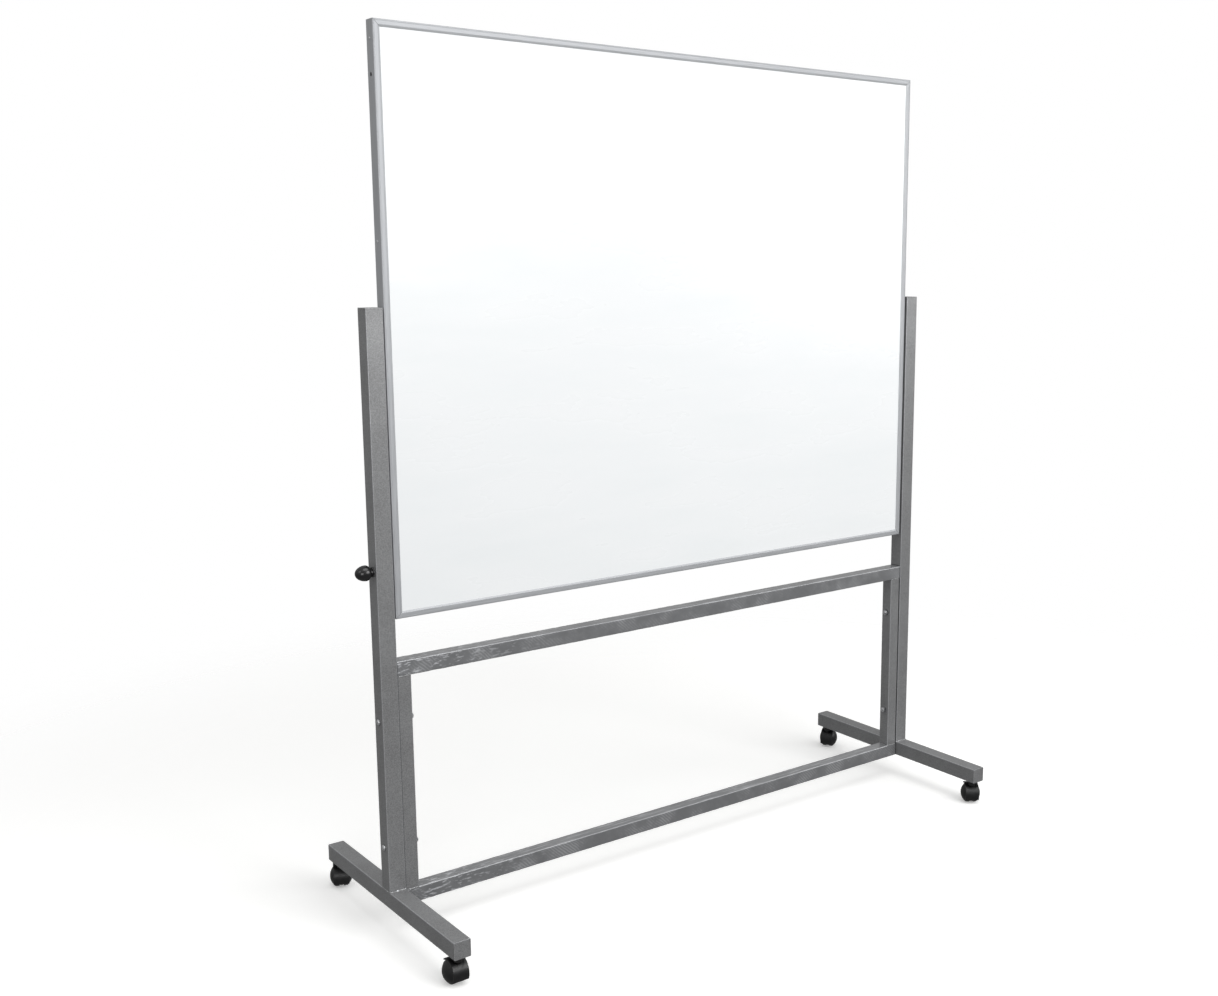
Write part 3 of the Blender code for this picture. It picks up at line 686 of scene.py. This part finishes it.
for side, out in (("left", -1), ("right", 1)):
    for level_name, z in zip(("lower", "upper"), bolt_heights):
        node = f"{side}_{level_name}_frame_bolt"
        low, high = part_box(node)
        tip, top = (high.x, low.x) if out < 0 else (low.x, high.x)
        length = abs(top - tip)
        seat = length - BOLT_HEAD_H
        profile = [(0, 0), (BOLT_R - BOLT_EDGE, 0), (BOLT_R, BOLT_EDGE)]
        profile += thread(BOLT_R, THREAD_START, THREAD_END)
        profile += [(BOLT_R, THREAD_END + THREAD_START), (BOLT_R, seat), (BOLT_HEAD_R, seat)]
        profile += rounded(BOLT_HEAD_R, seat + BOLT_EDGE, length, 8)
        bolt = spun(node + "_turned", profile, (tip, 0, z), (out, 0, 0), 32)
        fit(bolt, zinc, "stand", "zinc_steel", node)

        node = f"{side}_{level_name}_frame_nut"
        low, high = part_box(node)
        corner = max(high.y - low.y, high.z - low.z) / 2
        nut = rod(node + "_hex", (low.x, 0, z), (high.x, 0, z), corner, 6)
        flat, thick = corner * math.cos(math.pi / 6), high.x - low.x
        chamfer = spun("nut_chamfer", [
            (0, 0), (flat, 0), (corner + NUT_CLEAR, NUT_EDGE), (corner + NUT_CLEAR, thick - NUT_EDGE),
            (flat, thick), (0, thick)], (low.x, 0, z), (1, 0, 0))
        combine(nut, chamfer, "INTERSECT")
        drill(nut, NUT_BORE, (low.x - NUT_OVERRUN, 0, z), (high.x + NUT_OVERRUN, 0, z))
        fit(nut, zinc, "stand", "zinc_steel", node)


# ================================================================ pivots
# A zinc-plated bolt in each post turns in a steel block inside the board. A black moulded nylon
# collar on it keeps the board's edge clear of the post.
BLACK = "#0b0b0c"
BLACK_WORN = "#161617"
MOULD_GRAIN = 0.0009
RUB_SCALE = 90.0
COLLAR_BORE = 0.0053
COLLAR_EDGE = 0.0005

black_nylon, tree = empty_material("black_moulded_nylon")
coords = add_node(tree, "TexCoord", {})
grain = noise(tree, coords.outputs["Object"], 1 / MOULD_GRAIN, 3.0)
rubbed = noise(tree, coords.outputs["Object"], RUB_SCALE, 4.0)
level = ramp(tree, rubbed.outputs["Fac"], 0.45, 0.75)
tint = blend(tree, level.outputs[0], BLACK, BLACK_WORN)
gloss = ramp(tree, rubbed.outputs["Fac"], 0, 1, 0.26, 0.5)
bumps = add_node(tree, "Bump", {"Height": grain.outputs["Fac"], "Strength": 0.25, "Distance": 0.0001})
surface(tree, {
    "Base Color": tint.outputs[0], "Metallic": 0.0, "Roughness": gloss.outputs[0], "IOR": 1.53,
    "Normal": bumps.outputs[0]})


def repaint(node, material):
    """Gives a CAD node a finished material in all its slots."""
    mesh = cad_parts[node].data
    mesh.materials.clear()
    mesh.materials.append(material)


for side in ("left", "right"):
    repaint(f"{side}_pivot_bolt", zinc)
    repaint(f"{side}_pivot_block", zinc)
    node = f"{side}_pivot_collar"
    low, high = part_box(node)
    wide = (high.z - low.z) / 2
    thick = high.x - low.x
    collar = spun(node + "_ring", [
        (COLLAR_BORE, 0), (wide - COLLAR_EDGE, 0), (wide, COLLAR_EDGE), (wide, thick - COLLAR_EDGE),
        (wide - COLLAR_EDGE, thick), (COLLAR_BORE, thick)], (low.x, 0, pivot_z), (1, 0, 0))
    fit(collar, black_nylon, "stand", "black_plastic", node)


# ================================================================ lock knob
# A glossy black phenolic egg knob on an M8 zinc-plated stud screws through a flanged insert in the
# left post, over a nylon washer, until the stud stands at the lock hole in the board's edge.
KNOB_BLACK = "#0a0a0b"
KNOB_SMEARED = "#141416"
SMEAR_SCALE = 140.0
KNOB_R = 0.0165
KNOB_FULLEST = 0.0121             # the knob's fullest point, from its seat
KNOB_NECK = 0.0098
KNOB_NECK_H = 0.0025
KNOB_EDGE = 0.0004
KNOB_BORE_END = 0.022
STUD_R = 0.004
STUD_BORE = 0.0043
STUD_EDGE = 0.0007                # at its hidden end
STUD_TIP = 0.0012
INSERT_R = 0.006
INSERT_FLANGE = 0.009
SMALL_EDGE = 0.0003
GAP = 0.0003                      # between the insert's flange and the post

phenolic, tree = empty_material("polished_black_phenolic")
coords = add_node(tree, "TexCoord", {})
smears = noise(tree, coords.outputs["Object"], SMEAR_SCALE, 3.0)
gloss = ramp(tree, smears.outputs["Fac"], 0, 1, 0.12, 0.3)
tint = blend(tree, smears.outputs["Fac"], KNOB_BLACK, KNOB_SMEARED)
surface(tree, {
    "Base Color": tint.outputs[0], "Metallic": 0.0, "Roughness": gloss.outputs[0], "IOR": 1.6})

low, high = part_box("lock_knob")
reach = high.x - low.x
profile = [(0, KNOB_BORE_END), (STUD_BORE, KNOB_BORE_END), (STUD_BORE, 0),
           (KNOB_NECK - KNOB_EDGE, 0), (KNOB_NECK, KNOB_EDGE), (KNOB_NECK, KNOB_NECK_H)]
for i in range(1, 12):            # a cove from the neck swells out to the egg
    a = math.pi / 2 * i / 12
    profile.append((KNOB_NECK + (KNOB_R - KNOB_NECK) * math.sin(a) ** 1.3,
                    KNOB_NECK_H + (KNOB_FULLEST - KNOB_NECK_H) * (1 - math.cos(a)) ** 0.8))
profile += rounded(KNOB_R, KNOB_FULLEST, reach, 20)
knob = spun("lock_knob_egg", profile, (high.x, 0, lock_z), (-1, 0, 0), 64)
fit(knob, phenolic, "lock_screw", "black_plastic", "lock_knob")

low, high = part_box("lock_washer")
wide = (high.z - low.z) / 2
thick = high.x - low.x
washer = spun("lock_washer_ring", [
    (STUD_BORE, 0), (wide - SMALL_EDGE, 0), (wide, SMALL_EDGE), (wide, thick - SMALL_EDGE),
    (wide - SMALL_EDGE, thick), (STUD_BORE, thick)], (low.x, 0, lock_z), (1, 0, 0))
fit(washer, black_nylon, "lock_carrier", "black_plastic", "lock_washer")

low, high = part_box("lock_insert")
post_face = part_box("left_post")[0].x
flange = post_face - low.x - GAP
depth = high.x - low.x
insert = spun("lock_insert_bush", [
    (STUD_BORE, 0), (INSERT_FLANGE - SMALL_EDGE, 0), (INSERT_FLANGE, SMALL_EDGE),
    (INSERT_FLANGE, flange), (INSERT_R, flange), (INSERT_R, depth), (STUD_BORE, depth)],
    (low.x, 0, lock_z), (1, 0, 0))
fit(insert, zinc, "stand", "zinc_steel", "lock_insert")

low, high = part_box("lock_stud")
length = high.x - low.x
profile = [(0, 0), (STUD_R - STUD_EDGE, 0), (STUD_R, STUD_EDGE)]
profile += thread(STUD_R, THREAD_START, length - 2 * THREAD_START)
profile += [(STUD_R, length - STUD_TIP), (STUD_R - STUD_TIP, length), (0, length)]
stud = spun("lock_stud_thread", profile, (low.x, 0, lock_z), (1, 0, 0), 32)
fit(stud, zinc, "lock_screw", "zinc_steel", "lock_stud")


# ================================================================ board frame
# Extruded aluminium channel, mitred at the corners over hidden keys and satin anodised. A rounded
# outer band and a fine groove run along its face, with drawing lines along its length.
ALU_DARK = "#a8aaad"
ALU_LIGHT = "#bcbec1"
DRAW_LINE = 0.0012                # drawn coarser than real so that it shows
DRAWN_OUT = 0.02                  # how far the pattern is drawn out along the piece, as a scale
FACE_W = 0.015                    # the channel's width on the board's face
LIP = 0.0017                      # thickness over the sheet
TRIM_WALL = 0.0016
BAND_W = 0.0026                   # the rounded outer band, and how far it falls away
BAND_DROP = 0.0015
FACE_DROP = 0.0002                # the flat face lies this far below the band
GROOVE_W = 0.0007
GROOVE_DEEP = 0.0005
LINE_AT = 0.0105                  # a scribed line, from the outer edge
LINE_DEEP = 0.0002
MITRE_GAP = 0.00015
PIVOT_CLEAR = 0.0003              # how much wider than the post's the pivot holes are
EDGE_OVERRUN = 0.004
LOCK_DEPTH = 0.008


def anodised(name, stretch):
    """Satin anodised aluminium whose drawing lines run along the piece."""
    material, tree = empty_material(name)
    coords = add_node(tree, "TexCoord", {})
    pulled = add_node(tree, "Mapping", {"Vector": coords.outputs["Object"], "Scale": stretch})
    lines = noise(tree, pulled.outputs[0], 1 / DRAW_LINE, 3.0, 0.6)
    level = ramp(tree, lines.outputs["Fac"], 0.3, 0.7)
    tint = blend(tree, level.outputs[0], ALU_DARK, ALU_LIGHT)
    gloss = ramp(tree, lines.outputs["Fac"], 0, 1, 0.42, 0.56)
    bumps = add_node(tree, "Bump", {"Height": lines.outputs["Fac"], "Strength": 0.2,
                                    "Distance": 0.0001})
    surface(tree, {
        "Base Color": tint.outputs[0], "Metallic": 0.4, "Roughness": gloss.outputs[0],
        "Normal": bumps.outputs[0]})
    return material


def channel_outline(half_t):
    """The channel's section: (distance in from the board's edge, height above its middle)."""
    slot = half_t - LIP
    face = half_t - FACE_DROP
    upper = []
    for i in range(9):
        a = math.pi / 2 * i / 8
        upper.append((BAND_W * (1 - math.cos(a)), half_t - BAND_DROP + BAND_DROP * math.sin(a)))
    upper += [(BAND_W + 0.0002, half_t - GROOVE_DEEP), (BAND_W + GROOVE_W, half_t - GROOVE_DEEP),
              (BAND_W + GROOVE_W + 0.0003, face), (LINE_AT, face), (LINE_AT + 0.0002, face - LINE_DEEP),
              (LINE_AT + 0.0005, face - LINE_DEEP), (LINE_AT + 0.0007, face),
              (FACE_W - 0.0004, half_t - 0.0012), (FACE_W, half_t - 0.0015), (FACE_W, slot),
              (TRIM_WALL, slot)]
    return upper + [(u, -v) for u, v in reversed(upper)]


def channel(name, node, run, inward, holes):
    """A mitred length of channel. run is the axis along it, inward points to the board's middle."""
    low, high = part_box(node)
    middle = (low + high) / 2
    inward = Vector(inward)
    outer_edge = Vector([low[i] if inward[i] > 0 else high[i] for i in range(3)])
    outline = channel_outline((high.y - low.y) / 2)
    deselect()
    bpy.ops.mesh.primitive_circle_add(vertices=len(outline), radius=1, fill_type="NGON")
    made = bpy.context.active_object
    made.name = name
    for vertex, (u, v) in zip(made.data.vertices, outline):
        place = middle.copy()
        place[run] = low[run]
        place.y = middle.y + v
        for i in range(3):
            if inward[i]:
                place[i] = outer_edge[i] + inward[i] * u
        vertex.co = place
    bpy.ops.object.mode_set(mode="EDIT")
    bpy.ops.mesh.select_all(action="SELECT")
    along = Vector((0, 0, 0))
    along[run] = high[run] - low[run]
    bpy.ops.mesh.extrude_region_move(TRANSFORM_OT_translate={"value": along})
    for end, sign in ((low, 1), (high, -1)):
        corner = outer_edge.copy()
        corner[run] = end[run] + sign * MITRE_GAP
        cut_normal = -inward.copy()
        cut_normal[run] = sign
        bpy.ops.mesh.select_all(action="SELECT")
        bpy.ops.mesh.bisect(plane_co=corner, plane_no=cut_normal, use_fill=True, clear_inner=True)
    bpy.ops.mesh.select_all(action="SELECT")
    bpy.ops.mesh.normals_make_consistent(inside=False)
    bpy.ops.object.mode_set(mode="OBJECT")
    for radius, start, stop in holes:
        drill(made, radius, start, stop)
    return made


along_x = anodised("satin_anodised_aluminium_across", (DRAWN_OUT, 1, 1))
along_z = anodised("satin_anodised_aluminium_upright", (1, 1, DRAWN_OUT))
board_low, board_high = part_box("frame_left")[0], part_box("frame_right")[1]
lock_offset = pivot_z - lock_z

for name, inward in (("frame_top", (0, 0, -1)), ("frame_bottom", (0, 0, 1))):
    bar = channel(name + "_channel", name, 0, inward, [])
    fit(bar, along_x, "board", "aluminium", name)
for name, inward, face_x in (("frame_left", 1, board_low.x), ("frame_right", -1, board_high.x)):
    holes = [(PIVOT_HOLE + PIVOT_CLEAR, (face_x - inward * EDGE_OVERRUN, 0, pivot_z),
              (face_x + inward * EDGE_OVERRUN, 0, pivot_z))]
    if name == "frame_left":
        holes += [(LOCK_HOLE, (face_x - EDGE_OVERRUN, 0, z), (face_x + LOCK_DEPTH, 0, z))
                  for z in (pivot_z - lock_offset, pivot_z + lock_offset)]
    bar = channel(name + "_channel", name, 2, (inward, 0, 0), holes)
    fit(bar, along_z, "board", "aluminium", name)


# ================================================================ small parts in the board's edges
# Small zinc pan-head screws hold the corner keys and the pivot blocks in the two upright edges, and
# a thin steel bush lines each lock hole, flush with the edge so that it clears the stud.
SCREW_R = 0.0029
SCREW_H = 0.0013
SCREW_RIM = 0.0003
CROSS_W = 0.0006                  # the cross cut in the head
CROSS_DEEP = 0.0006
CROSS_REACH = 0.6 * SCREW_R
SEATED = 0.0001                   # a hair's breadth that keeps two flush faces apart
KEY_SCREW_DROP = 0.036            # from the top or bottom of the board
BLOCK_SCREW_OFFSET = 0.175        # from the pivot
BUSH_WALL = 0.0006
BUSH_LENGTH = 0.012
BUSH_EDGE = 0.0002

screw_heights = [board_high.z - KEY_SCREW_DROP, pivot_z + BLOCK_SCREW_OFFSET,
                 pivot_z - BLOCK_SCREW_OFFSET, board_low.z + KEY_SCREW_DROP]
for side, out, face_x in (("left", -1, board_low.x), ("right", 1, board_high.x)):
    for number, z in enumerate(screw_heights, 1):
        profile = [(0, 0), (SCREW_R, 0)] + rounded(SCREW_R, SCREW_RIM, SCREW_H, 5)
        screw = spun(f"{side}_edge_screw_{number}", profile, (face_x + out * SEATED, 0, z),
                     (out, 0, 0), 24)
        top = face_x + out * SCREW_H
        for half_y, half_z in ((CROSS_W / 2, CROSS_REACH), (CROSS_REACH, CROSS_W / 2)):
            x_low, x_high = sorted((top - out * CROSS_DEEP, top + out * SCREW_H))
            cross = block("cross", (x_low, -half_y, z - half_z), (x_high, half_y, z + half_z))
            combine(screw, cross, "DIFFERENCE")
        fit(screw, zinc, "board", "zinc_steel")

for name, z in (("upper", pivot_z + lock_offset), ("lower", pivot_z - lock_offset)):
    bush_r = LOCK_HOLE - SEATED
    bush = spun(f"lock_hole_bush_{name}", [
        (bush_r - BUSH_WALL, 0), (bush_r - BUSH_EDGE, 0), (bush_r, BUSH_EDGE), (bush_r, BUSH_LENGTH),
        (bush_r - BUSH_WALL, BUSH_LENGTH)], (board_low.x - SEATED, 0, z), (1, 0, 0), 40)
    fit(bush, zinc, "board", "zinc_steel")


# ================================================================ writing sheets and core
# Two sheets of steel, vitreous enamelled white and fired, so hard, bright and very smooth with a
# faint waviness. Wiped marker leaves a barely visible haze. A plain fibreboard core is between them.
ENAMEL = "#f8fafb"
HAZE = "#f4f7f8"
WIPE_STRETCH = (1.2, 1.0, 5.0)
WIPE_LEAN = 25
HAZE_SCALE = 2.2
WAVE_SCALE = 60.0
FIBRE_DARK = "#8a6a45"
FIBRE_LIGHT = "#b39266"
FIBRE_SCALE = 900.0

enamel, tree = empty_material("white_vitreous_enamel")
coords = add_node(tree, "TexCoord", {})
wipes = add_node(tree, "Mapping", {"Vector": coords.outputs["Object"],
                                   "Rotation": (0, math.radians(WIPE_LEAN), 0), "Scale": WIPE_STRETCH})
haze = noise(tree, wipes.outputs[0], HAZE_SCALE, 5.0)
level = ramp(tree, haze.outputs["Fac"], 0.4, 0.7)
tint = blend(tree, level.outputs[0], ENAMEL, HAZE)
gloss = ramp(tree, haze.outputs["Fac"], 0.3, 0.8, 0.24, 0.36)
waves = noise(tree, coords.outputs["Object"], WAVE_SCALE, 1.0)
bumps = add_node(tree, "Bump", {"Height": waves.outputs["Fac"], "Strength": 0.05, "Distance": 0.0005})
surface(tree, {
    "Base Color": tint.outputs[0], "Metallic": 0.0, "Roughness": gloss.outputs[0], "IOR": 1.52,
    "Normal": bumps.outputs[0]})

fibre, tree = empty_material("pressed_fibreboard")
coords = add_node(tree, "TexCoord", {})
strands = noise(tree, coords.outputs["Object"], FIBRE_SCALE, 6.0)
tint = blend(tree, strands.outputs["Fac"], FIBRE_DARK, FIBRE_LIGHT)
surface(tree, {"Base Color": tint.outputs[0], "Roughness": 0.9})

repaint("front_sheet", enamel)
repaint("back_sheet", enamel)
repaint("panel_core", fibre)


# ================================================================ castors
# Twin-wheel furniture castors, moulded in black nylon: a mudguard with a round recess carries a flat
# web, the axle and two domed wheels, and rises into a round boss on a zinc-plated stem.
WEB_HALF = 0.0036
WEB_SHORT = 2                     # degrees by which the web stops short of the mudguard's ends
WEB_SUNK = 0.001                  # how far its rim lies inside the mudguard's outside
DISC_R = 0.0235                   # the web's round lower part
HOOD_IN = 0.0263                  # the mudguard's radii about the axle
HOOD_OUT = 0.0293
HOOD_HALF = 0.0180
HOOD_EDGE = 0.0014
HOOD_SWEEP = (62, 206)            # degrees from the trailing side, over the top, to the leading side
RECESS_R = 0.0118
RECESS_Z = 0.0305
RECESS_FLOOR = 0.0277             # radius about the axle that the recess stops at
BOSS_R = 0.0095
BOSS_Z = 0.0507
BOSS_EDGE = 0.001
NECK_ARC = (98, 134)              # degrees, the part of the web's rim that the neck takes up
NECK_Z = 0.0530
AXLE_BORE = 0.0033
STEM_BORE = 0.0053
STEM_HOLE_Z = 0.0535
CLEAR_Z = 0.07                    # above the whole castor
RECESS_REACH = 0.014              # how far to each side the recess's floor is cut
AXLE_REACH = 0.01
WHEEL_BORE_END = 0.0215
WHEEL_INNER = 0.0046              # a wheel's inner face, from the castor's middle
WHEEL_FACE = 0.0255               # a wheel's dome, from the castor's middle


def arc(radius, start, end, steps):
    """Points (along, up) on a circle, between two angles in degrees."""
    angles = [math.radians(start + (end - start) * i / steps) for i in range(steps + 1)]
    return [(radius * math.cos(a), radius * math.sin(a)) for a in angles]


def flat_ring(name, points):
    """A closed ring of edges through points, selected, in edit mode."""
    deselect()
    bpy.ops.mesh.primitive_circle_add(vertices=len(points), radius=1)
    made = bpy.context.active_object
    made.name = name
    for vertex, point in zip(made.data.vertices, points):
        vertex.co = point
    bpy.ops.object.mode_set(mode="EDIT")
    bpy.ops.mesh.select_all(action="SELECT")
    return made


def close_up(obj):
    """Fills the open ends of the shape in edit mode and turns its faces outwards."""
    bpy.ops.mesh.select_all(action="SELECT")
    bpy.ops.mesh.fill_holes(sides=0)
    bpy.ops.mesh.select_all(action="SELECT")
    bpy.ops.mesh.normals_make_consistent(inside=False)
    bpy.ops.object.mode_set(mode="OBJECT")
    return obj


def mudguard(name, axle_at, trail, across):
    """The hood over both wheels: its rounded section is spun part of the way round the axle."""
    half = [(HOOD_HALF - HOOD_EDGE * (1 - math.cos(a)), HOOD_OUT - HOOD_EDGE * (1 - math.sin(a)))
            for a in [math.pi / 2 * i / 5 for i in range(6)]]
    section = [(HOOD_HALF, HOOD_IN)] + half + [(-t, r) for t, r in reversed(half)] + [(-HOOD_HALF, HOOD_IN)]
    first = math.radians(HOOD_SWEEP[0])
    spoke = trail * math.cos(first) + Vector((0, 0, 1)) * math.sin(first)
    made = flat_ring(name, [axle_at + across * t + spoke * r for t, r in section])
    sweep = math.radians(HOOD_SWEEP[1] - HOOD_SWEEP[0])
    bpy.ops.mesh.spin(steps=48, angle=sweep, center=axle_at, axis=Vector((0, 0, 1)).cross(trail))
    return close_up(made)


def middle_web(name, axle_at, stem_at, trail, across):
    """The flat web between the wheels, up to the hood, with a neck under the boss."""
    start, end = HOOD_SWEEP[0] + WEB_SHORT, HOOD_SWEEP[1] - WEB_SHORT
    reach = HOOD_OUT - WEB_SUNK
    behind = (stem_at - axle_at).dot(trail)
    neck = [(behind + s, NECK_Z - axle_at.z) for s in (BOSS_R * 0.9, -BOSS_R * 0.9)]
    outline = (arc(reach, start, NECK_ARC[0], 10) + neck + arc(reach, NECK_ARC[1], end, 20)
               + arc(DISC_R, end, start + 360, 32))
    made = flat_ring(name, [axle_at - across * WEB_HALF + trail * s + Vector((0, 0, z)) for s, z in outline])
    bpy.ops.mesh.extrude_region_move(TRANSFORM_OT_translate={"value": across * WEB_HALF * 2})
    return close_up(made)


# A wheel's section from its bore over the tread and the dome: (radius, distance from the middle).
wheel_outline = [(0, WHEEL_BORE_END), (AXLE_BORE, WHEEL_BORE_END), (AXLE_BORE, WHEEL_INNER),
                 (0.0240, WHEEL_INNER),
                 (0.0245, 0.0048), (0.0248, 0.0053), (0.0250, 0.0062),
                 (0.0250, 0.0122), (0.0248, 0.0134), (0.0241, 0.0147), (0.0232, 0.0156),
                 (0.0226, 0.0158), (0.0222, 0.0162), (0.0206, 0.0178), (0.0186, 0.0195),
                 (0.0160, 0.0213), (0.0128, 0.0230), (0.0094, 0.0243), (0.0058, 0.0251),
                 (0.0056, 0.0248), (0.0050, 0.0248), (0.0048, 0.0252), (0.0024, 0.0255),
                 (0, WHEEL_FACE)]

for end in ("front", "rear"):
    for side in ("left", "right"):
        corner = f"{end}_{side}"
        a_low, a_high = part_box(f"{corner}_axle")
        axle_at = (a_low + a_high) / 2
        s_low, s_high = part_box(f"{corner}_stem")
        stem_at = Vector(((s_low.x + s_high.x) / 2, (s_low.y + s_high.y) / 2, 0))
        trail = Vector((axle_at.x - stem_at.x, axle_at.y - stem_at.y, 0)).normalized()
        across = Vector((-trail.y, trail.x, 0))
        boss_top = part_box(f"{corner}_castor_body")[1].z

        for letter, way in (("a", -1), ("b", 1)):
            wheel = spun(f"{corner}_wheel_{letter}_moulding", wheel_outline, axle_at, across * way, 64)
            fit(wheel, black_nylon, f"{corner}_wheel_{letter}", "black_plastic",
                f"{corner}_wheel_{letter}")

        web = middle_web(f"{corner}_castor_web", axle_at, stem_at, trail, across)
        hood = mudguard("hood", axle_at, trail, across)
        above = stem_at + Vector((0, 0, CLEAR_Z))
        recess = rod("recess", stem_at + Vector((0, 0, RECESS_Z)), above, RECESS_R, 48)
        drill(recess, RECESS_FLOOR, axle_at - across * RECESS_REACH, axle_at + across * RECESS_REACH, 96)
        combine(hood, recess, "DIFFERENCE")
        combine(web, hood, "UNION")
        boss = spun("boss", [(0, BOSS_Z), (BOSS_R - BOSS_EDGE, BOSS_Z), (BOSS_R, BOSS_Z + BOSS_EDGE),
                             (BOSS_R, boss_top - BOSS_EDGE), (BOSS_R - BOSS_EDGE, boss_top),
                             (0, boss_top)], stem_at, (0, 0, 1))
        combine(web, boss, "UNION")
        drill(web, STEM_BORE, stem_at + Vector((0, 0, STEM_HOLE_Z)), above)
        drill(web, AXLE_BORE, axle_at - across * AXLE_REACH, axle_at + across * AXLE_REACH)
        fit(web, black_nylon, f"{corner}_swivel", "black_plastic", f"{corner}_castor_body")

        repaint(f"{corner}_axle", zinc)
        repaint(f"{corner}_stem", zinc)


# ================================================================ size of the finished scene
low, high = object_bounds()
